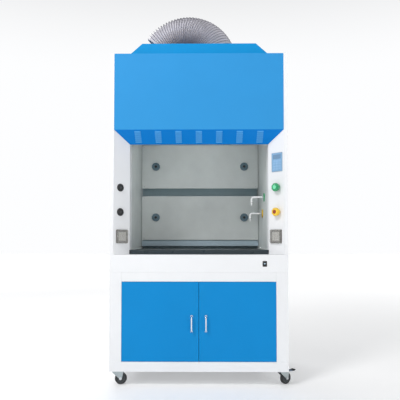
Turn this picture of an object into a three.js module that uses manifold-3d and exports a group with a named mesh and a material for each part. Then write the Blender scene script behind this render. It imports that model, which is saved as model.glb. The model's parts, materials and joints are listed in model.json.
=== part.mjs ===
// Walk-up laboratory fume hood on casters, with a base cabinet and a two-panel vertical sash.
// Millimetres, +Z up. The front faces -Y and +X is the user's right. The origin is on the floor
// under the middle of the hood.
import * as THREE from 'three';
import { mergeVertices } from 'three/addons/utils/BufferGeometryUtils.js';
import Module from 'manifold-3d';

const wasm = await Module();
wasm.setup();

// ---- driving dimensions -------------------------------------------------------------------------
const HALF_WIDTH = 560; // outer faces of the side panels
const FRONT = -386; // plane of the doors, apron and fascia
const BACK = 414; // outer face of the rear panel
const SHEET = 2; // painted steel sheet
const GAP = 0.3; // between pieces that touch
const BASE_BOTTOM = 92; // underside of the base pan, over the casters
const DOOR_BOTTOM = 153;
const DOOR_TOP = 652;
const APRON_BOTTOM = 710;
const APRON_TOP = 820;
const WORKTOP_TOP = 848;
const OPENING_TOP = 1532; // lower edge of the slanted louvre strip
const FASCIA_BOTTOM = 1611;
const HOOD_TOP = 2098;
const COWL_TOP = 2200;
const STILE = 75; // width of the cabinet's front stiles
const STRIP = 23; // front strip of each side panel, beside the fascia
const HALF_OPENING = 448; // inner faces of the posts and the liners
const BEVEL = HALF_WIDTH - STRIP - HALF_OPENING; // the 45 degree faces, measured along X and along Y
const LIP = FRONT + BEVEL; // plane of the worktop's front edge
const JAMB_BACK = -214;
const JAMB_FRONT = JAMB_BACK - 48;
const LINER = 5;
const CEILING = 1700;
const BAFFLE = FRONT + 700;
const BAFFLE_HALF_WIDTH = 445;
const OUTLET = new THREE.Vector2(145, 14); // axis of the fan and of the duct's upright leg
const SASH_BOTTOM = 1545; // both sash panels at rest, raised behind the fascia
const SASH_HEIGHT = 370;
const LOWER_SASH = -250; // plane of the lower sash panel
const UPPER_SASH = -226;
const GLASS = 5;
const BELT_X = 498; // middle of each sash belt
const BELT_RADIUS = 30;
const PULLEY_Y = LOWER_SASH + BELT_RADIUS;
const PULLEY_TOP = 2010;
const PULLEY_BOTTOM = 900;
const CASTER_X = 525;
const CASTER_FRONT = FRONT + 60;
const CASTER_BACK = BACK - 60;
const WHEEL_RADIUS = 37.5;
const TRAIL = 30;
const FRONT_RIGHT_YAW = THREE.MathUtils.degToRad(35);

// ---- materials ----------------------------------------------------------------------------------
const paint = (color, roughness = 0.45, metalness = 0) =>
  new THREE.MeshStandardMaterial({ color, roughness, metalness });
const WHITE = () => paint(0xf0f1f2);
const BLUE = () => paint(0x1e8cd0);
const LINING = () => paint(0xacb6b6, 0.5);
const DARK_TOP = () => paint(0x283c48, 0.35);
const STEEL = () => paint(0xb8bcc0, 0.3, 0.9);
const IRON = () => paint(0x55585a, 0.6, 0.6);
const BLACK = () => paint(0x15181a, 0.5);
const GREY_PLASTIC = () => paint(0x9aa0a4, 0.5);
const CLEAR = () => paint(0xdfe8ec, 0.1);
const GREEN = () => paint(0x1f9a5b, 0.35);
const YELLOW = () => paint(0xf0c81e, 0.35);
const DISPLAY_BLUE = () => paint(0xa8c8e4, 0.25);

// ---- geometry helpers ---------------------------------------------------------------------------
const point = (u, v) => new THREE.Vector2(u, v);

function toManifold(geometry) {
  const bare = geometry.clone();
  bare.deleteAttribute('normal');
  bare.deleteAttribute('uv');
  const merged = mergeVertices(bare, 1e-4);
  const vertProperties = new Float32Array(merged.attributes.position.array);
  const triVerts = new Uint32Array(merged.index.array);
  return new wasm.Manifold(new wasm.Mesh({ numProp: 3, vertProperties, triVerts }));
}

function toGeometry(manifold) {
  const mesh = manifold.getMesh();
  const geometry = new THREE.BufferGeometry();
  geometry.setAttribute('position', new THREE.BufferAttribute(mesh.vertProperties, 3));
  geometry.setIndex(new THREE.BufferAttribute(mesh.triVerts, 1));
  geometry.computeVertexNormals();
  return geometry;
}

function cut(body, ...tools) {
  return toGeometry(tools.reduce((rest, tool) => rest.subtract(toManifold(tool)), toManifold(body)));
}

function join(body, ...others) {
  return toGeometry(others.reduce((sum, other) => sum.add(toManifold(other)), toManifold(body)));
}

function box(x0, x1, y0, y1, z0, z1) {
  const geometry = new THREE.BoxGeometry(x1 - x0, y1 - y0, z1 - z0);
  return geometry.translate((x0 + x1) / 2, (y0 + y1) / 2, (z0 + z1) / 2);
}

const MAP_X = new THREE.Matrix4().makeBasis(
  new THREE.Vector3(0, 1, 0), new THREE.Vector3(0, 0, 1), new THREE.Vector3(1, 0, 0));
const MAP_Y = new THREE.Matrix4().makeBasis(
  new THREE.Vector3(1, 0, 0), new THREE.Vector3(0, 0, 1), new THREE.Vector3(0, -1, 0));

function extruded(shape, depth) {
  return new THREE.ExtrudeGeometry(shape, { depth, bevelEnabled: false, curveSegments: 16 });
}

// An outline in X and Y, standing from z0 to z1.
function prismZ(outline, z0, z1) {
  return extruded(new THREE.Shape(outline), z1 - z0).translate(0, 0, z0);
}

// An outline in Y and Z, running from x0 to x1.
function prismX(outline, x0, x1) {
  return extruded(new THREE.Shape(outline), x1 - x0).applyMatrix4(MAP_X).translate(x0, 0, 0);
}

// An outline in X and Z, running from y0 to y1.
function prismY(outline, y0, y1) {
  return extruded(new THREE.Shape(outline), y1 - y0).applyMatrix4(MAP_Y).translate(0, y1, 0);
}

function rod(from, to, radius, sides = 20) {
  const start = new THREE.Vector3(...from);
  const along = new THREE.Vector3(...to).sub(start);
  const turn = new THREE.Quaternion();
  turn.setFromUnitVectors(new THREE.Vector3(0, 1, 0), along.clone().normalize());
  const geometry = new THREE.CylinderGeometry(radius, radius, along.length(), sides);
  geometry.applyQuaternion(turn);
  const middle = start.addScaledVector(along, 0.5);
  return geometry.translate(middle.x, middle.y, middle.z);
}

function volume(geometry) {
  const position = geometry.attributes.position;
  const corner = (i) => new THREE.Vector3().fromBufferAttribute(position, geometry.index.getX(i));
  let sum = 0;
  for (let i = 0; i < geometry.index.count; i += 3) {
    sum += corner(i).dot(corner(i + 1).cross(corner(i + 2))) / 6;
  }
  return sum;
}

function flipped(geometry) {
  const index = geometry.index.array;
  for (let i = 0; i < index.length; i += 3) {
    [index[i], index[i + 1]] = [index[i + 1], index[i]];
  }
  geometry.computeVertexNormals();
  return geometry;
}

// A profile of radius and height turned about the Y axis, with its faces outwards.
function lathe(profile, sides = 32) {
  const geometry = new THREE.LatheGeometry(profile.map(([r, h]) => point(r, h)), sides);
  return volume(geometry) < 0 ? flipped(geometry) : geometry;
}

const latheZ = (profile, sides) => lathe(profile, sides).rotateX(Math.PI / 2);

// The same shape on the other side of the hood.
function mirrored(geometry) {
  const copy = toGeometry(toManifold(geometry));
  return flipped(copy.scale(-1, 1, 1));
}

// The closed outline of a sheet folded along a path, its thickness to the left of the path.
function folded(path, thickness = SHEET) {
  const leftOf = (a, b) => point(a.y - b.y, b.x - a.x).normalize();
  const inner = path.map((corner, i) => {
    const before = leftOf(path[Math.max(i - 1, 0)], path[Math.max(i, 1)]);
    const last = path.length - 1;
    const after = leftOf(path[Math.min(i, last - 1)], path[Math.min(i + 1, last)]);
    const mitre = before.clone().add(after);
    return corner.clone().addScaledVector(mitre, thickness / mitre.dot(before));
  });
  return [...path, ...inner.reverse()];
}

const hood = new THREE.Group();

function place(name, geometry, material, parent = hood) {
  const mesh = new THREE.Mesh(geometry, material);
  mesh.name = name;
  parent.add(mesh);
  return mesh;
}

const SIDES = [{ side: 'left', sign: -1 }, { side: 'right', sign: 1 }];

// Shapes are drawn for the left side and mirrored for the right one.
function placePair(name, leftGeometry, material) {
  place(`${name}_left`, leftGeometry, material());
  place(`${name}_right`, mirrored(leftGeometry), material());
}

// ---- base cabinet -------------------------------------------------------------------------------
const HINGE_INSET = 12; // door edge to hinge pin
const HINGE_DEPTH = 4; // door face to hinge pin
const PIN_RADIUS = 3;
const PIN_LENGTH = 12;
const DOOR_GAP = 1.3;
const DOOR_DEPTH = 18;
const OPENING_EDGE = HALF_WIDTH - STILE;
const HINGE_X = OPENING_EDGE - DOOR_GAP - HINGE_INSET;
const HINGE_Y = FRONT + HINGE_DEPTH;

function hingePins(z0, z1) {
  return [-HINGE_X, HINGE_X].map((x) => rod([x, HINGE_Y, z0], [x, HINGE_Y, z1], PIN_RADIUS, 12));
}

// A closed pan whose underside is open between the margins that the casters bolt to.
function basePan() {
  const margin = 115;
  const shell = box(-HALF_WIDTH, HALF_WIDTH, FRONT, BACK, BASE_BOTTOM, DOOR_BOTTOM);
  const hollow = box(-HALF_WIDTH + SHEET, HALF_WIDTH - SHEET, FRONT + SHEET, BACK - SHEET,
    BASE_BOTTOM + SHEET, DOOR_BOTTOM - SHEET);
  const underside = box(-HALF_WIDTH + margin, HALF_WIDTH - margin, FRONT + margin, BACK - margin,
    BASE_BOTTOM - 1, BASE_BOTTOM + SHEET + 1);
  const pan = cut(shell, hollow, underside);
  return join(pan, ...hingePins(DOOR_BOTTOM - 1, DOOR_BOTTOM + PIN_LENGTH));
}

// A folded side with its front stile. Above the top rail it steps back behind the apron.
function cabinetSide() {
  const outline = folded([
    point(-HALF_WIDTH + 30, BACK - SHEET - GAP), point(-HALF_WIDTH, BACK - SHEET - GAP),
    point(-HALF_WIDTH, FRONT), point(-OPENING_EDGE, FRONT), point(-OPENING_EDGE, FRONT + 20)]);
  const side = prismZ(outline, DOOR_BOTTOM + GAP, APRON_TOP - SHEET - GAP);
  const front = box(-HALF_WIDTH - 1, 0, FRONT - 1, FRONT + SHEET + GAP, APRON_BOTTOM - GAP, APRON_TOP);
  const behind = box(-HALF_WIDTH + SHEET, 0, FRONT, FRONT + 32, APRON_BOTTOM - GAP, APRON_TOP);
  return cut(side, front, behind);
}

function topRail() {
  const outline = folded([
    point(FRONT + 20, APRON_BOTTOM - GAP), point(FRONT, APRON_BOTTOM - GAP),
    point(FRONT, DOOR_TOP), point(FRONT + 20, DOOR_TOP)]);
  const halfLength = OPENING_EDGE - GAP;
  return join(prismX(outline, -halfLength, halfLength), ...hingePins(DOOR_TOP - PIN_LENGTH, DOOR_TOP + 1));
}

const SWITCH = { x: 413, z: 763, width: 18, height: 26 };

function apron() {
  const outline = folded([
    point(LIP - GAP, APRON_TOP), point(FRONT, APRON_TOP),
    point(FRONT, APRON_BOTTOM), point(FRONT + 30, APRON_BOTTOM)]);
  const halfCutX = SWITCH.width / 2 + 1.5;
  const halfCutZ = SWITCH.height / 2 + 2.5;
  const switchHole = box(SWITCH.x - halfCutX, SWITCH.x + halfCutX, FRONT - 1, FRONT + SHEET + 1,
    SWITCH.z - halfCutZ, SWITCH.z + halfCutZ);
  const inside = HALF_WIDTH - SHEET - GAP;
  const ends = SIDES.map(({ sign }) => box(
    Math.min(sign * inside, sign * HALF_WIDTH * 1.01), Math.max(sign * inside, sign * HALF_WIDTH * 1.01),
    FRONT + SHEET, LIP, APRON_BOTTOM - 1, APRON_TOP + 1));
  return cut(prismX(outline, -HALF_WIDTH, HALF_WIDTH), switchHole, ...ends);
}

// The rocker's two flats meet at its pivot line. At rest its lower half stands proud.
function rocker() {
  const { x, z, width, height } = SWITCH;
  const outline = [
    point(FRONT - 4.5, z - height / 2), point(FRONT - 1, z), point(FRONT - 0.8, z + height / 2),
    point(FRONT + 10, z + height / 2 - 3), point(FRONT + 14, z), point(FRONT + 10, z - height / 2 + 3)];
  return prismX(outline, x - width / 2, x + width / 2);
}

// A pan door, open at the back, that turns on pins in the rail above and the pan below.
function door() {
  const bottom = DOOR_BOTTOM + 2;
  const top = DOOR_TOP - 2;
  const edge = -OPENING_EDGE + DOOR_GAP;
  const panel = box(edge, -DOOR_GAP, FRONT, FRONT + DOOR_DEPTH, bottom, top);
  const hollow = box(edge + SHEET, -DOOR_GAP - SHEET, FRONT + SHEET, FRONT + DOOR_DEPTH + 1,
    bottom + SHEET, top - SHEET);
  const block = box(edge + 0.5, edge + 2 * HINGE_INSET, FRONT + 0.5, FRONT + DOOR_DEPTH - 1,
    bottom + 0.5, bottom + 14);
  const topBlock = block.clone().translate(0, 0, top - bottom - 14.5);
  const bore = rod([-HINGE_X, HINGE_Y, bottom - 5], [-HINGE_X, HINGE_Y, top + 5], PIN_RADIUS + GAP, 12);
  return cut(join(cut(panel, hollow), block, topBlock), bore);
}

const HANDLE = { x: 45, z: 389, span: 94, reach: 23, bar: 5 };

// A round bar bent into a bow, with a foot at each end against the door.
function handle() {
  const { x, z, span, reach, bar } = HANDLE;
  const face = FRONT - GAP;
  const bend = 12;
  const path = new THREE.CurvePath();
  const at = (y, h) => new THREE.Vector3(-x, face - y, z + h);
  const half = span / 2;
  path.add(new THREE.LineCurve3(at(0, half), at(reach - bend, half)));
  path.add(new THREE.QuadraticBezierCurve3(at(reach - bend, half), at(reach, half), at(reach, half - bend)));
  path.add(new THREE.LineCurve3(at(reach, half - bend), at(reach, bend - half)));
  path.add(new THREE.QuadraticBezierCurve3(at(reach, bend - half), at(reach, -half), at(reach - bend, -half)));
  path.add(new THREE.LineCurve3(at(reach - bend, -half), at(0, -half)));
  const section = new THREE.Shape().absarc(0, 0, bar, 0, 2 * Math.PI);
  return new THREE.ExtrudeGeometry(section, { steps: 26, extrudePath: path, curveSegments: 4 });
}

// ---- casters ------------------------------------------------------------------------------------
const FORK_TOP = BASE_BOTTOM - GAP;
const FORK_GAP = 14.5; // wheel's middle plane to the inside of each leg
const LEG = 3;
const PEDAL_PIVOT = { x: 41, z: 79 };

// A leg seen from the side: wide at the crown, round at the axle, with an ear for the pedal's pin.
function forkLeg(y0, y1) {
  const eye = 9;
  const shape = new THREE.Shape();
  shape.moveTo(-24, 86);
  shape.lineTo(-22, 74);
  shape.lineTo(TRAIL - eye, WHEEL_RADIUS);
  shape.absarc(TRAIL, WHEEL_RADIUS, eye, Math.PI, 2 * Math.PI, false);
  shape.lineTo(47, 72);
  shape.lineTo(47, 85);
  shape.lineTo(26, 86);
  const leg = new THREE.Shape(shape.getPoints(4));
  return extruded(leg, y1 - y0).applyMatrix4(MAP_Y).translate(0, y1, 0);
}

// Crown, race and legs pressed as one, with the axle bolt across the legs.
function casterFork() {
  const crown = box(-24, 26, -FORK_GAP - LEG, FORK_GAP + LEG, 80, 86);
  const race = latheZ([[0, 85], [26, 85], [24, FORK_TOP], [0, FORK_TOP]], 16);
  const legs = [forkLeg(-FORK_GAP - LEG, -FORK_GAP), forkLeg(FORK_GAP, FORK_GAP + LEG)];
  const reach = FORK_GAP + LEG + 5;
  const axle = rod([TRAIL, -reach, WHEEL_RADIUS], [TRAIL, reach, WHEEL_RADIUS], 4, 10);
  const pedalBore = rod([PEDAL_PIVOT.x, -30, PEDAL_PIVOT.z], [PEDAL_PIVOT.x, 30, PEDAL_PIVOT.z], 2.8, 8);
  return cut(join(crown, race, ...legs, axle), pedalBore);
}

function casterWheel() {
  const half = 12.5;
  const bore = 4.4;
  return lathe([
    [bore, -half], [34, -half], [WHEEL_RADIUS, -half + 5], [WHEEL_RADIUS, half - 5], [34, half],
    [bore, half], [bore, -half]], 28);
}

// A foot lever over the wheel, with its hinge pin across the fork's ears.
function brakePedal() {
  const outline = [
    point(35, 76), point(50, 76.5), point(86, 74), point(106, 77), point(108, 82), point(104, 85),
    point(84, 80), point(50, 82.5), point(35, 82)];
  const plate = prismY(outline, -13, 13);
  const reach = FORK_GAP + LEG + 2;
  return join(plate, rod([PEDAL_PIVOT.x, -reach, PEDAL_PIVOT.z], [PEDAL_PIVOT.x, reach, PEDAL_PIVOT.z], 2.4, 8));
}

function placeCaster(corner, x, y, yaw, hasBrake) {
  const caster = new THREE.Group();
  caster.position.set(x, y, 0);
  caster.rotation.z = yaw;
  hood.add(caster);
  place(`caster_fork_${corner}`, casterFork(), STEEL(), caster);
  const wheel = place(`caster_wheel_${corner}`, casterWheel(), BLACK(), caster);
  wheel.position.set(TRAIL, 0, WHEEL_RADIUS);
  if (hasBrake) {
    place(`brake_pedal_${corner}`, brakePedal(), BLACK(), caster);
  }
}

// ---- hood body ----------------------------------------------------------------------------------
const WORKTOP_BOTTOM = APRON_TOP + GAP;
const SINK = { x: 340, y: -76, rim: 80, body: 62, depth: 130 };
const INNER_BACK = BACK - 2 * SHEET - 2 * GAP; // clear of the rear flanges and the rear panel

// A slab with its front corners notched round the posts, and a hole for the cup sink.
function worktop() {
  const noseX = HALF_OPENING - SHEET - GAP;
  const wideX = HALF_WIDTH - STRIP - GAP;
  const notch = JAMB_FRONT + GAP;
  const outline = [
    point(-noseX, LIP), point(noseX, LIP), point(noseX, notch), point(wideX, notch),
    point(wideX, INNER_BACK), point(-wideX, INNER_BACK), point(-wideX, notch), point(-noseX, notch)];
  const hole = rod([SINK.x, SINK.y, 800], [SINK.x, SINK.y, 900], SINK.body + 3, 20);
  return cut(prismZ(outline, WORKTOP_BOTTOM, WORKTOP_TOP), hole);
}

// A round cup with a rim on the worktop and a drain tail.
function cupSink() {
  const { rim, body, depth } = SINK;
  const wall = 4;
  const drain = 16;
  const cup = latheZ([
    [drain, -depth - 40], [drain + 3, -depth - 40], [drain + 3, -depth], [body - 14, -depth + 6],
    [body, -40], [body, GAP], [rim, GAP], [rim, 3], [body - wall, 3], [body - wall, -40],
    [body - 14 - wall, -depth + 6 + wall], [drain, -depth + wall], [drain, -depth - 40]], 20);
  return cup.translate(SINK.x, SINK.y, WORKTOP_TOP);
}

function sidePanel() {
  const rear = BACK - SHEET - GAP;
  const outline = folded([
    point(STRIP - HALF_WIDTH, rear), point(-HALF_WIDTH, rear),
    point(-HALF_WIDTH, FRONT), point(STRIP - HALF_WIDTH, FRONT)]);
  return prismZ(outline, APRON_TOP + GAP, HOOD_TOP);
}

function rearPanel() {
  return box(-HALF_WIDTH, HALF_WIDTH, BACK - SHEET, BACK, DOOR_BOTTOM + GAP, HOOD_TOP);
}

// ---- bevelled posts and what is fitted in them --------------------------------------------------
const BEVEL_CENTRE = HALF_OPENING + BEVEL / 2;
const BEVEL_MIDDLE_Y = FRONT + BEVEL / 2;
const VALVES = { water: 1246, gas: 1090 };
const VALVE_X = 13; // along the bevel, from its middle towards the front
const SPINDLE_HOLE = 7;
const SOCKET_Z = 935;
const SOCKET_CUT = 72;
const DISPLAY_Z = 1408;

// Shapes drawn facing -Y about the origin, turned onto a bevelled post at one height.
function ontoBevel(geometry, sign, z) {
  return geometry.rotateZ(-sign * Math.PI / 4).translate(sign * BEVEL_CENTRE, BEVEL_MIDDLE_Y, z);
}

function bevelGroup(sign, z) {
  const group = new THREE.Group();
  group.position.set(sign * BEVEL_CENTRE, BEVEL_MIDDLE_Y, z);
  group.rotation.z = -sign * Math.PI / 4;
  hood.add(group);
  return group;
}

// A folded post: a flange by the side panel, the bevel, and a return beside the opening. Its top is
// mitred under the slanted louvre strip.
function post() {
  const outer = GAP + STRIP - HALF_WIDTH;
  const outline = folded([
    point(outer, FRONT + 25), point(outer, FRONT), point(-HALF_OPENING, LIP - GAP),
    point(-HALF_OPENING, JAMB_FRONT)]);
  const slope = (FASCIA_BOTTOM - OPENING_TOP) / BEVEL;
  const mitre = prismX([
    point(FRONT - 2, FASCIA_BOTTOM + 2 * slope - 2 * GAP), point(LIP + GAP, OPENING_TOP - 3 * GAP),
    point(LIP + GAP, HOOD_TOP), point(FRONT - 2, HOOD_TOP)], -HALF_WIDTH, 0);
  const worktopNotch = box(-HALF_OPENING - 5, 0, LIP - 2, 0, APRON_TOP, WORKTOP_TOP + GAP);
  const valves = Object.values(VALVES).map((z) =>
    ontoBevel(rod([-VALVE_X, -20, 0], [-VALVE_X, 20, 0], SPINDLE_HOLE, 16), -1, z));
  const half = SOCKET_CUT / 2;
  const socketHole = ontoBevel(box(-half, half, -20, 20, -half, half), -1, SOCKET_Z);
  const standing = prismZ(outline, APRON_TOP + GAP, FASCIA_BOTTOM);
  const tall = box(-HALF_OPENING - 5, 0, LIP, 0, OPENING_TOP, FASCIA_BOTTOM + 1);
  return cut(standing, mitre, worktopNotch, tall, ...valves, socketHole);
}

// A square outlet whose body passes through the bevel.
function socket() {
  const plate = box(-43, 43, -9, -GAP, -43, 43);
  const body = box(-34, 34, -1, 32, -34, 34);
  return join(plate, body);
}

// A clear splash cover, open at the back, hinged along its top edge.
function socketLid() {
  const cover = box(-41, 41, -21, -9 - GAP, -42, 42);
  const hollow = box(-39, 39, -19, 0, -40, 40);
  const tab = box(14, 30, -18, -12, -47, -41);
  return join(cut(cover, hollow), tab);
}

function displayPanel() {
  return box(-42, 42, -4, -GAP, -61, 61).translate(9, 0, 0);
}

// A fluted knob with its spindle, about the Y axis and facing -Y.
function valveKnob() {
  const body = lathe([[0, -GAP - 3], [20, -GAP - 3], [24, 5], [27, 20], [25, 30], [20, 34], [0, 34]], 20);
  const lobes = 8;
  const flutes = Array.from({ length: lobes }, (_, i) => {
    const angle = ((i + 0.5) / lobes) * 2 * Math.PI;
    const x = 31 * Math.cos(angle);
    const z = 31 * Math.sin(angle);
    return rod([x, 8, z], [x, 40, z], 7, 8);
  });
  const spindle = rod([0, -30, 0], [0, 1, 0], 5, 12);
  const knob = join(cut(body.translate(0, 3 + 2 * GAP, 0), ...flutes), spindle);
  return knob.rotateZ(Math.PI).translate(VALVE_X, 0, 0);
}

// ---- sash ---------------------------------------------------------------------------------------
const SLOT = 9;
const JAMB_TOP = 1930;
const EDGE = 476; // half width of each sash panel, through the jambs' slots

function slot(y) {
  return box(-EDGE - 20, 0, y - SLOT / 2, y + SLOT / 2, WORKTOP_TOP + 8, JAMB_TOP - 8);
}

function sashJamb() {
  const bar = box(-HALF_OPENING - 18, -HALF_OPENING - GAP, JAMB_FRONT + GAP, JAMB_BACK,
    WORKTOP_TOP + GAP, JAMB_TOP);
  return cut(bar, slot(LOWER_SASH), slot(UPPER_SASH));
}

function sashPane(y, bottom) {
  return box(-EDGE, EDGE, y - GLASS / 2, y + GLASS / 2, bottom, SASH_BOTTOM + SASH_HEIGHT);
}

// The lower panel's bottom rail: a channel round the glass with a finger lip in front.
function sashHandle() {
  const half = HALF_OPENING - 3;
  const front = LOWER_SASH - 10;
  const back = LOWER_SASH + 7;
  const outline = [
    point(front - 20, SASH_BOTTOM), point(back, SASH_BOTTOM), point(back, SASH_BOTTOM + 32),
    point(LOWER_SASH + GLASS / 2 + GAP, SASH_BOTTOM + 32), point(LOWER_SASH + GLASS / 2 + GAP, SASH_BOTTOM + 5),
    point(LOWER_SASH - GLASS / 2 - GAP, SASH_BOTTOM + 5), point(LOWER_SASH - GLASS / 2 - GAP, SASH_BOTTOM + 32),
    point(front, SASH_BOTTOM + 32), point(front, SASH_BOTTOM + 8), point(front - 16, SASH_BOTTOM + 5),
    point(front - 20, SASH_BOTTOM + 8)];
  return prismX(outline, -half, half);
}

function sashBelt() {
  const loop = (radius) => {
    const shape = new THREE.Path();
    shape.absarc(PULLEY_Y, PULLEY_TOP, radius, 0, Math.PI, false);
    shape.absarc(PULLEY_Y, PULLEY_BOTTOM, radius, Math.PI, 2 * Math.PI, false);
    return shape.getPoints(7);
  };
  const shape = new THREE.Shape(loop(BELT_RADIUS + 2));
  shape.holes.push(new THREE.Path(loop(BELT_RADIUS)));
  const width = 16;
  return extruded(shape, width).applyMatrix4(MAP_X).translate(-BELT_X - width / 2, 0, 0);
}

// A pulley that rim flanges keep the belt on, turned about the Y axis.
function pulley() {
  const groove = BELT_RADIUS - GAP;
  return lathe([[0, -12], [34, -12], [34, -9], [groove, -9], [groove, 9], [34, 9], [34, 12], [0, 12]], 16);
}

function pulleyAt(x, z) {
  return pulley().rotateZ(Math.PI / 2).translate(x, PULLEY_Y, z);
}

function pulleyShaft() {
  const shaft = rod([-BELT_X - 20, PULLEY_Y, PULLEY_TOP], [BELT_X + 20, PULLEY_Y, PULLEY_TOP], 8, 10);
  return join(shaft, pulleyAt(-BELT_X, PULLEY_TOP), pulleyAt(BELT_X, PULLEY_TOP));
}

function beltIdler() {
  const pin = rod([-BELT_X - 22, PULLEY_Y, PULLEY_BOTTOM], [-BELT_X + 22, PULLEY_Y, PULLEY_BOTTOM], 5, 10);
  return join(pulleyAt(-BELT_X, PULLEY_BOTTOM), pin);
}

const WEIGHT = { width: 50, depth: 30, height: 333, bottom: 960 };

function counterweight() {
  const { width, depth, height, bottom } = WEIGHT;
  const front = PULLEY_Y + BELT_RADIUS + 2 + 2;
  return box(-BELT_X - width / 2, -BELT_X + width / 2, front, front + depth, bottom, bottom + height);
}

// ---- work chamber -------------------------------------------------------------------------------
function liner() {
  return box(-HALF_OPENING - LINER, -HALF_OPENING, JAMB_BACK + GAP, INNER_BACK, WORKTOP_TOP + GAP, CEILING - GAP);
}

const FAN_RADIUS = 121;

function chamberCeiling() {
  const half = HALF_OPENING + LINER;
  const sheet = box(-half, half, JAMB_BACK + GAP, INNER_BACK, CEILING, CEILING + LINER);
  const inlet = rod([OUTLET.x, OUTLET.y, CEILING - 5], [OUTLET.x, OUTLET.y, CEILING + 15], FAN_RADIUS - 3, 32);
  return cut(sheet, inlet);
}

const BAFFLES = { baffle_upper: [1306, 1640], baffle_lower: [912, 1247], baffle_bottom: [866, 907] };

// Rear baffles stand off the rear panel with gaps between them for the air.
function baffle(z0, z1) {
  return box(-BAFFLE_HALF_WIDTH, BAFFLE_HALF_WIDTH, BAFFLE, BAFFLE + LINER, z0, z1);
}

const SPOUTS = [
  { name: 'water_spout', y: -76, z: 1206, reach: 88, drop: 58 },
  { name: 'gas_spout', y: 34, z: 1099, reach: 88, drop: 56 },
];

// A bent tube from a wall flange, ending in a serrated hose nozzle.
function spout({ y, z, reach, drop }) {
  const wall = HALF_OPENING - GAP;
  const bend = 14;
  const at = (x, h) => new THREE.Vector3(wall - x, y, z + h);
  const path = new THREE.CurvePath();
  path.add(new THREE.LineCurve3(at(2, 0), at(reach - bend, 0)));
  path.add(new THREE.QuadraticBezierCurve3(at(reach - bend, 0), at(reach, 0), at(reach, -bend)));
  path.add(new THREE.LineCurve3(at(reach, -bend), at(reach, 20 - drop)));
  const section = new THREE.Shape().absarc(0, 0, 6.5, 0, 2 * Math.PI);
  const tube = new THREE.ExtrudeGeometry(section, { steps: 16, extrudePath: path, curveSegments: 4 });
  const flange = rod([wall, y, z], [wall - 8, y, z], 30, 20);
  const nozzle = latheZ([[0, -drop], [3.5, -drop], [6, 21 - drop], [0, 21 - drop]], 8);
  return join(tube, flange, nozzle.translate(wall - reach, y, z));
}

// ---- head: fascia, roof, cowl -------------------------------------------------------------------
const LOUVRE = { columns: 7, rows: 6, pitch: 130, halfLength: 14, halfGap: 1.6, topMargin: 1.2 };

// A front sheet that turns in at the top and slopes back at the bottom to the opening, with seven
// columns of louvre slots in the slope.
function fascia() {
  const outline = folded([
    point(FRONT + 36, HOOD_TOP), point(FRONT, HOOD_TOP), point(FRONT, FASCIA_BOTTOM),
    point(LIP, OPENING_TOP), point(LIP, OPENING_TOP + 18)]);
  const half = HALF_WIDTH - STRIP - GAP;
  const sheet = prismX(outline, -half, half);
  const mitres = SIDES.map(({ sign }) => prismZ([
    point(-half - 1, FRONT - 1), point(-HALF_OPENING + GAP + 1, LIP + 1), point(-HALF_OPENING + GAP + 1, LIP + 30),
    point(-half - 1, LIP + 30)].map((corner) => point(-sign * corner.x, corner.y)), OPENING_TOP - 10, FASCIA_BOTTOM - GAP));
  const angle = Math.atan2(FASCIA_BOTTOM - OPENING_TOP, BEVEL);
  const slots = [];
  const { columns, rows, pitch, halfLength, halfGap, topMargin } = LOUVRE;
  for (let column = 0; column < columns; column += 1) {
    const x = (column - (columns - 1) / 2) * pitch;
    for (let row = 0; row < rows; row += 1) {
      const opening = box(-halfLength, halfLength, -halfGap, halfGap, -3 * SHEET, 3 * SHEET);
      opening.rotateX(-angle);
      const down = (row + topMargin) / (rows - 1 + 2 * topMargin);
      opening.translate(x, FRONT + BEVEL * down, FASCIA_BOTTOM + (OPENING_TOP - FASCIA_BOTTOM) * down);
      slots.push(opening);
    }
  }
  return cut(sheet, ...mitres, ...slots);
}

const ROOF_TOP = HOOD_TOP - SHEET - GAP;

function roofPanel() {
  const half = HALF_WIDTH - SHEET - GAP;
  const sheet = box(-half, half, FRONT + SHEET + GAP, INNER_BACK, ROOF_TOP - SHEET, ROOF_TOP);
  return cut(sheet, rod([OUTLET.x, OUTLET.y, ROOF_TOP - 9], [OUTLET.x, OUTLET.y, ROOF_TOP + 9], FAN_RADIUS + 2, 40));
}

const COWL = { front: FRONT + 100, back: FRONT + 600, halfBase: 490, halfTop: 372 };

// A cover with sloping ends, open below, and cut out round the duct.
function topCowl() {
  const { front, back, halfBase, halfTop } = COWL;
  const trapezoid = (base, top, bottomZ, topZ) => [
    point(-base, bottomZ), point(base, bottomZ), point(top, topZ), point(-top, topZ)];
  const bottom = ROOF_TOP + GAP;
  const shell = prismY(trapezoid(halfBase, halfTop, bottom, COWL_TOP), front, back);
  const hollow = prismY(trapezoid(halfBase - 3, halfTop - 2, bottom - 1, COWL_TOP - SHEET), front + SHEET, back - SHEET);
  const hole = rod([OUTLET.x - 3, OUTLET.y, COWL_TOP - 20], [OUTLET.x - 3, OUTLET.y, COWL_TOP + 20], 145, 40);
  return cut(cut(shell, hollow), hole);
}

// ---- exhaust ------------------------------------------------------------------------------------
const CASING_TOP = 2145;
const MOTOR = { bottom: 1795, top: 1850, radius: 34 };
const DUCT = { bore: 125, wall: 4, start: 2108, bend: 2140, radius: 250, sweep: 140, yaw: 12 };

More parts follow.
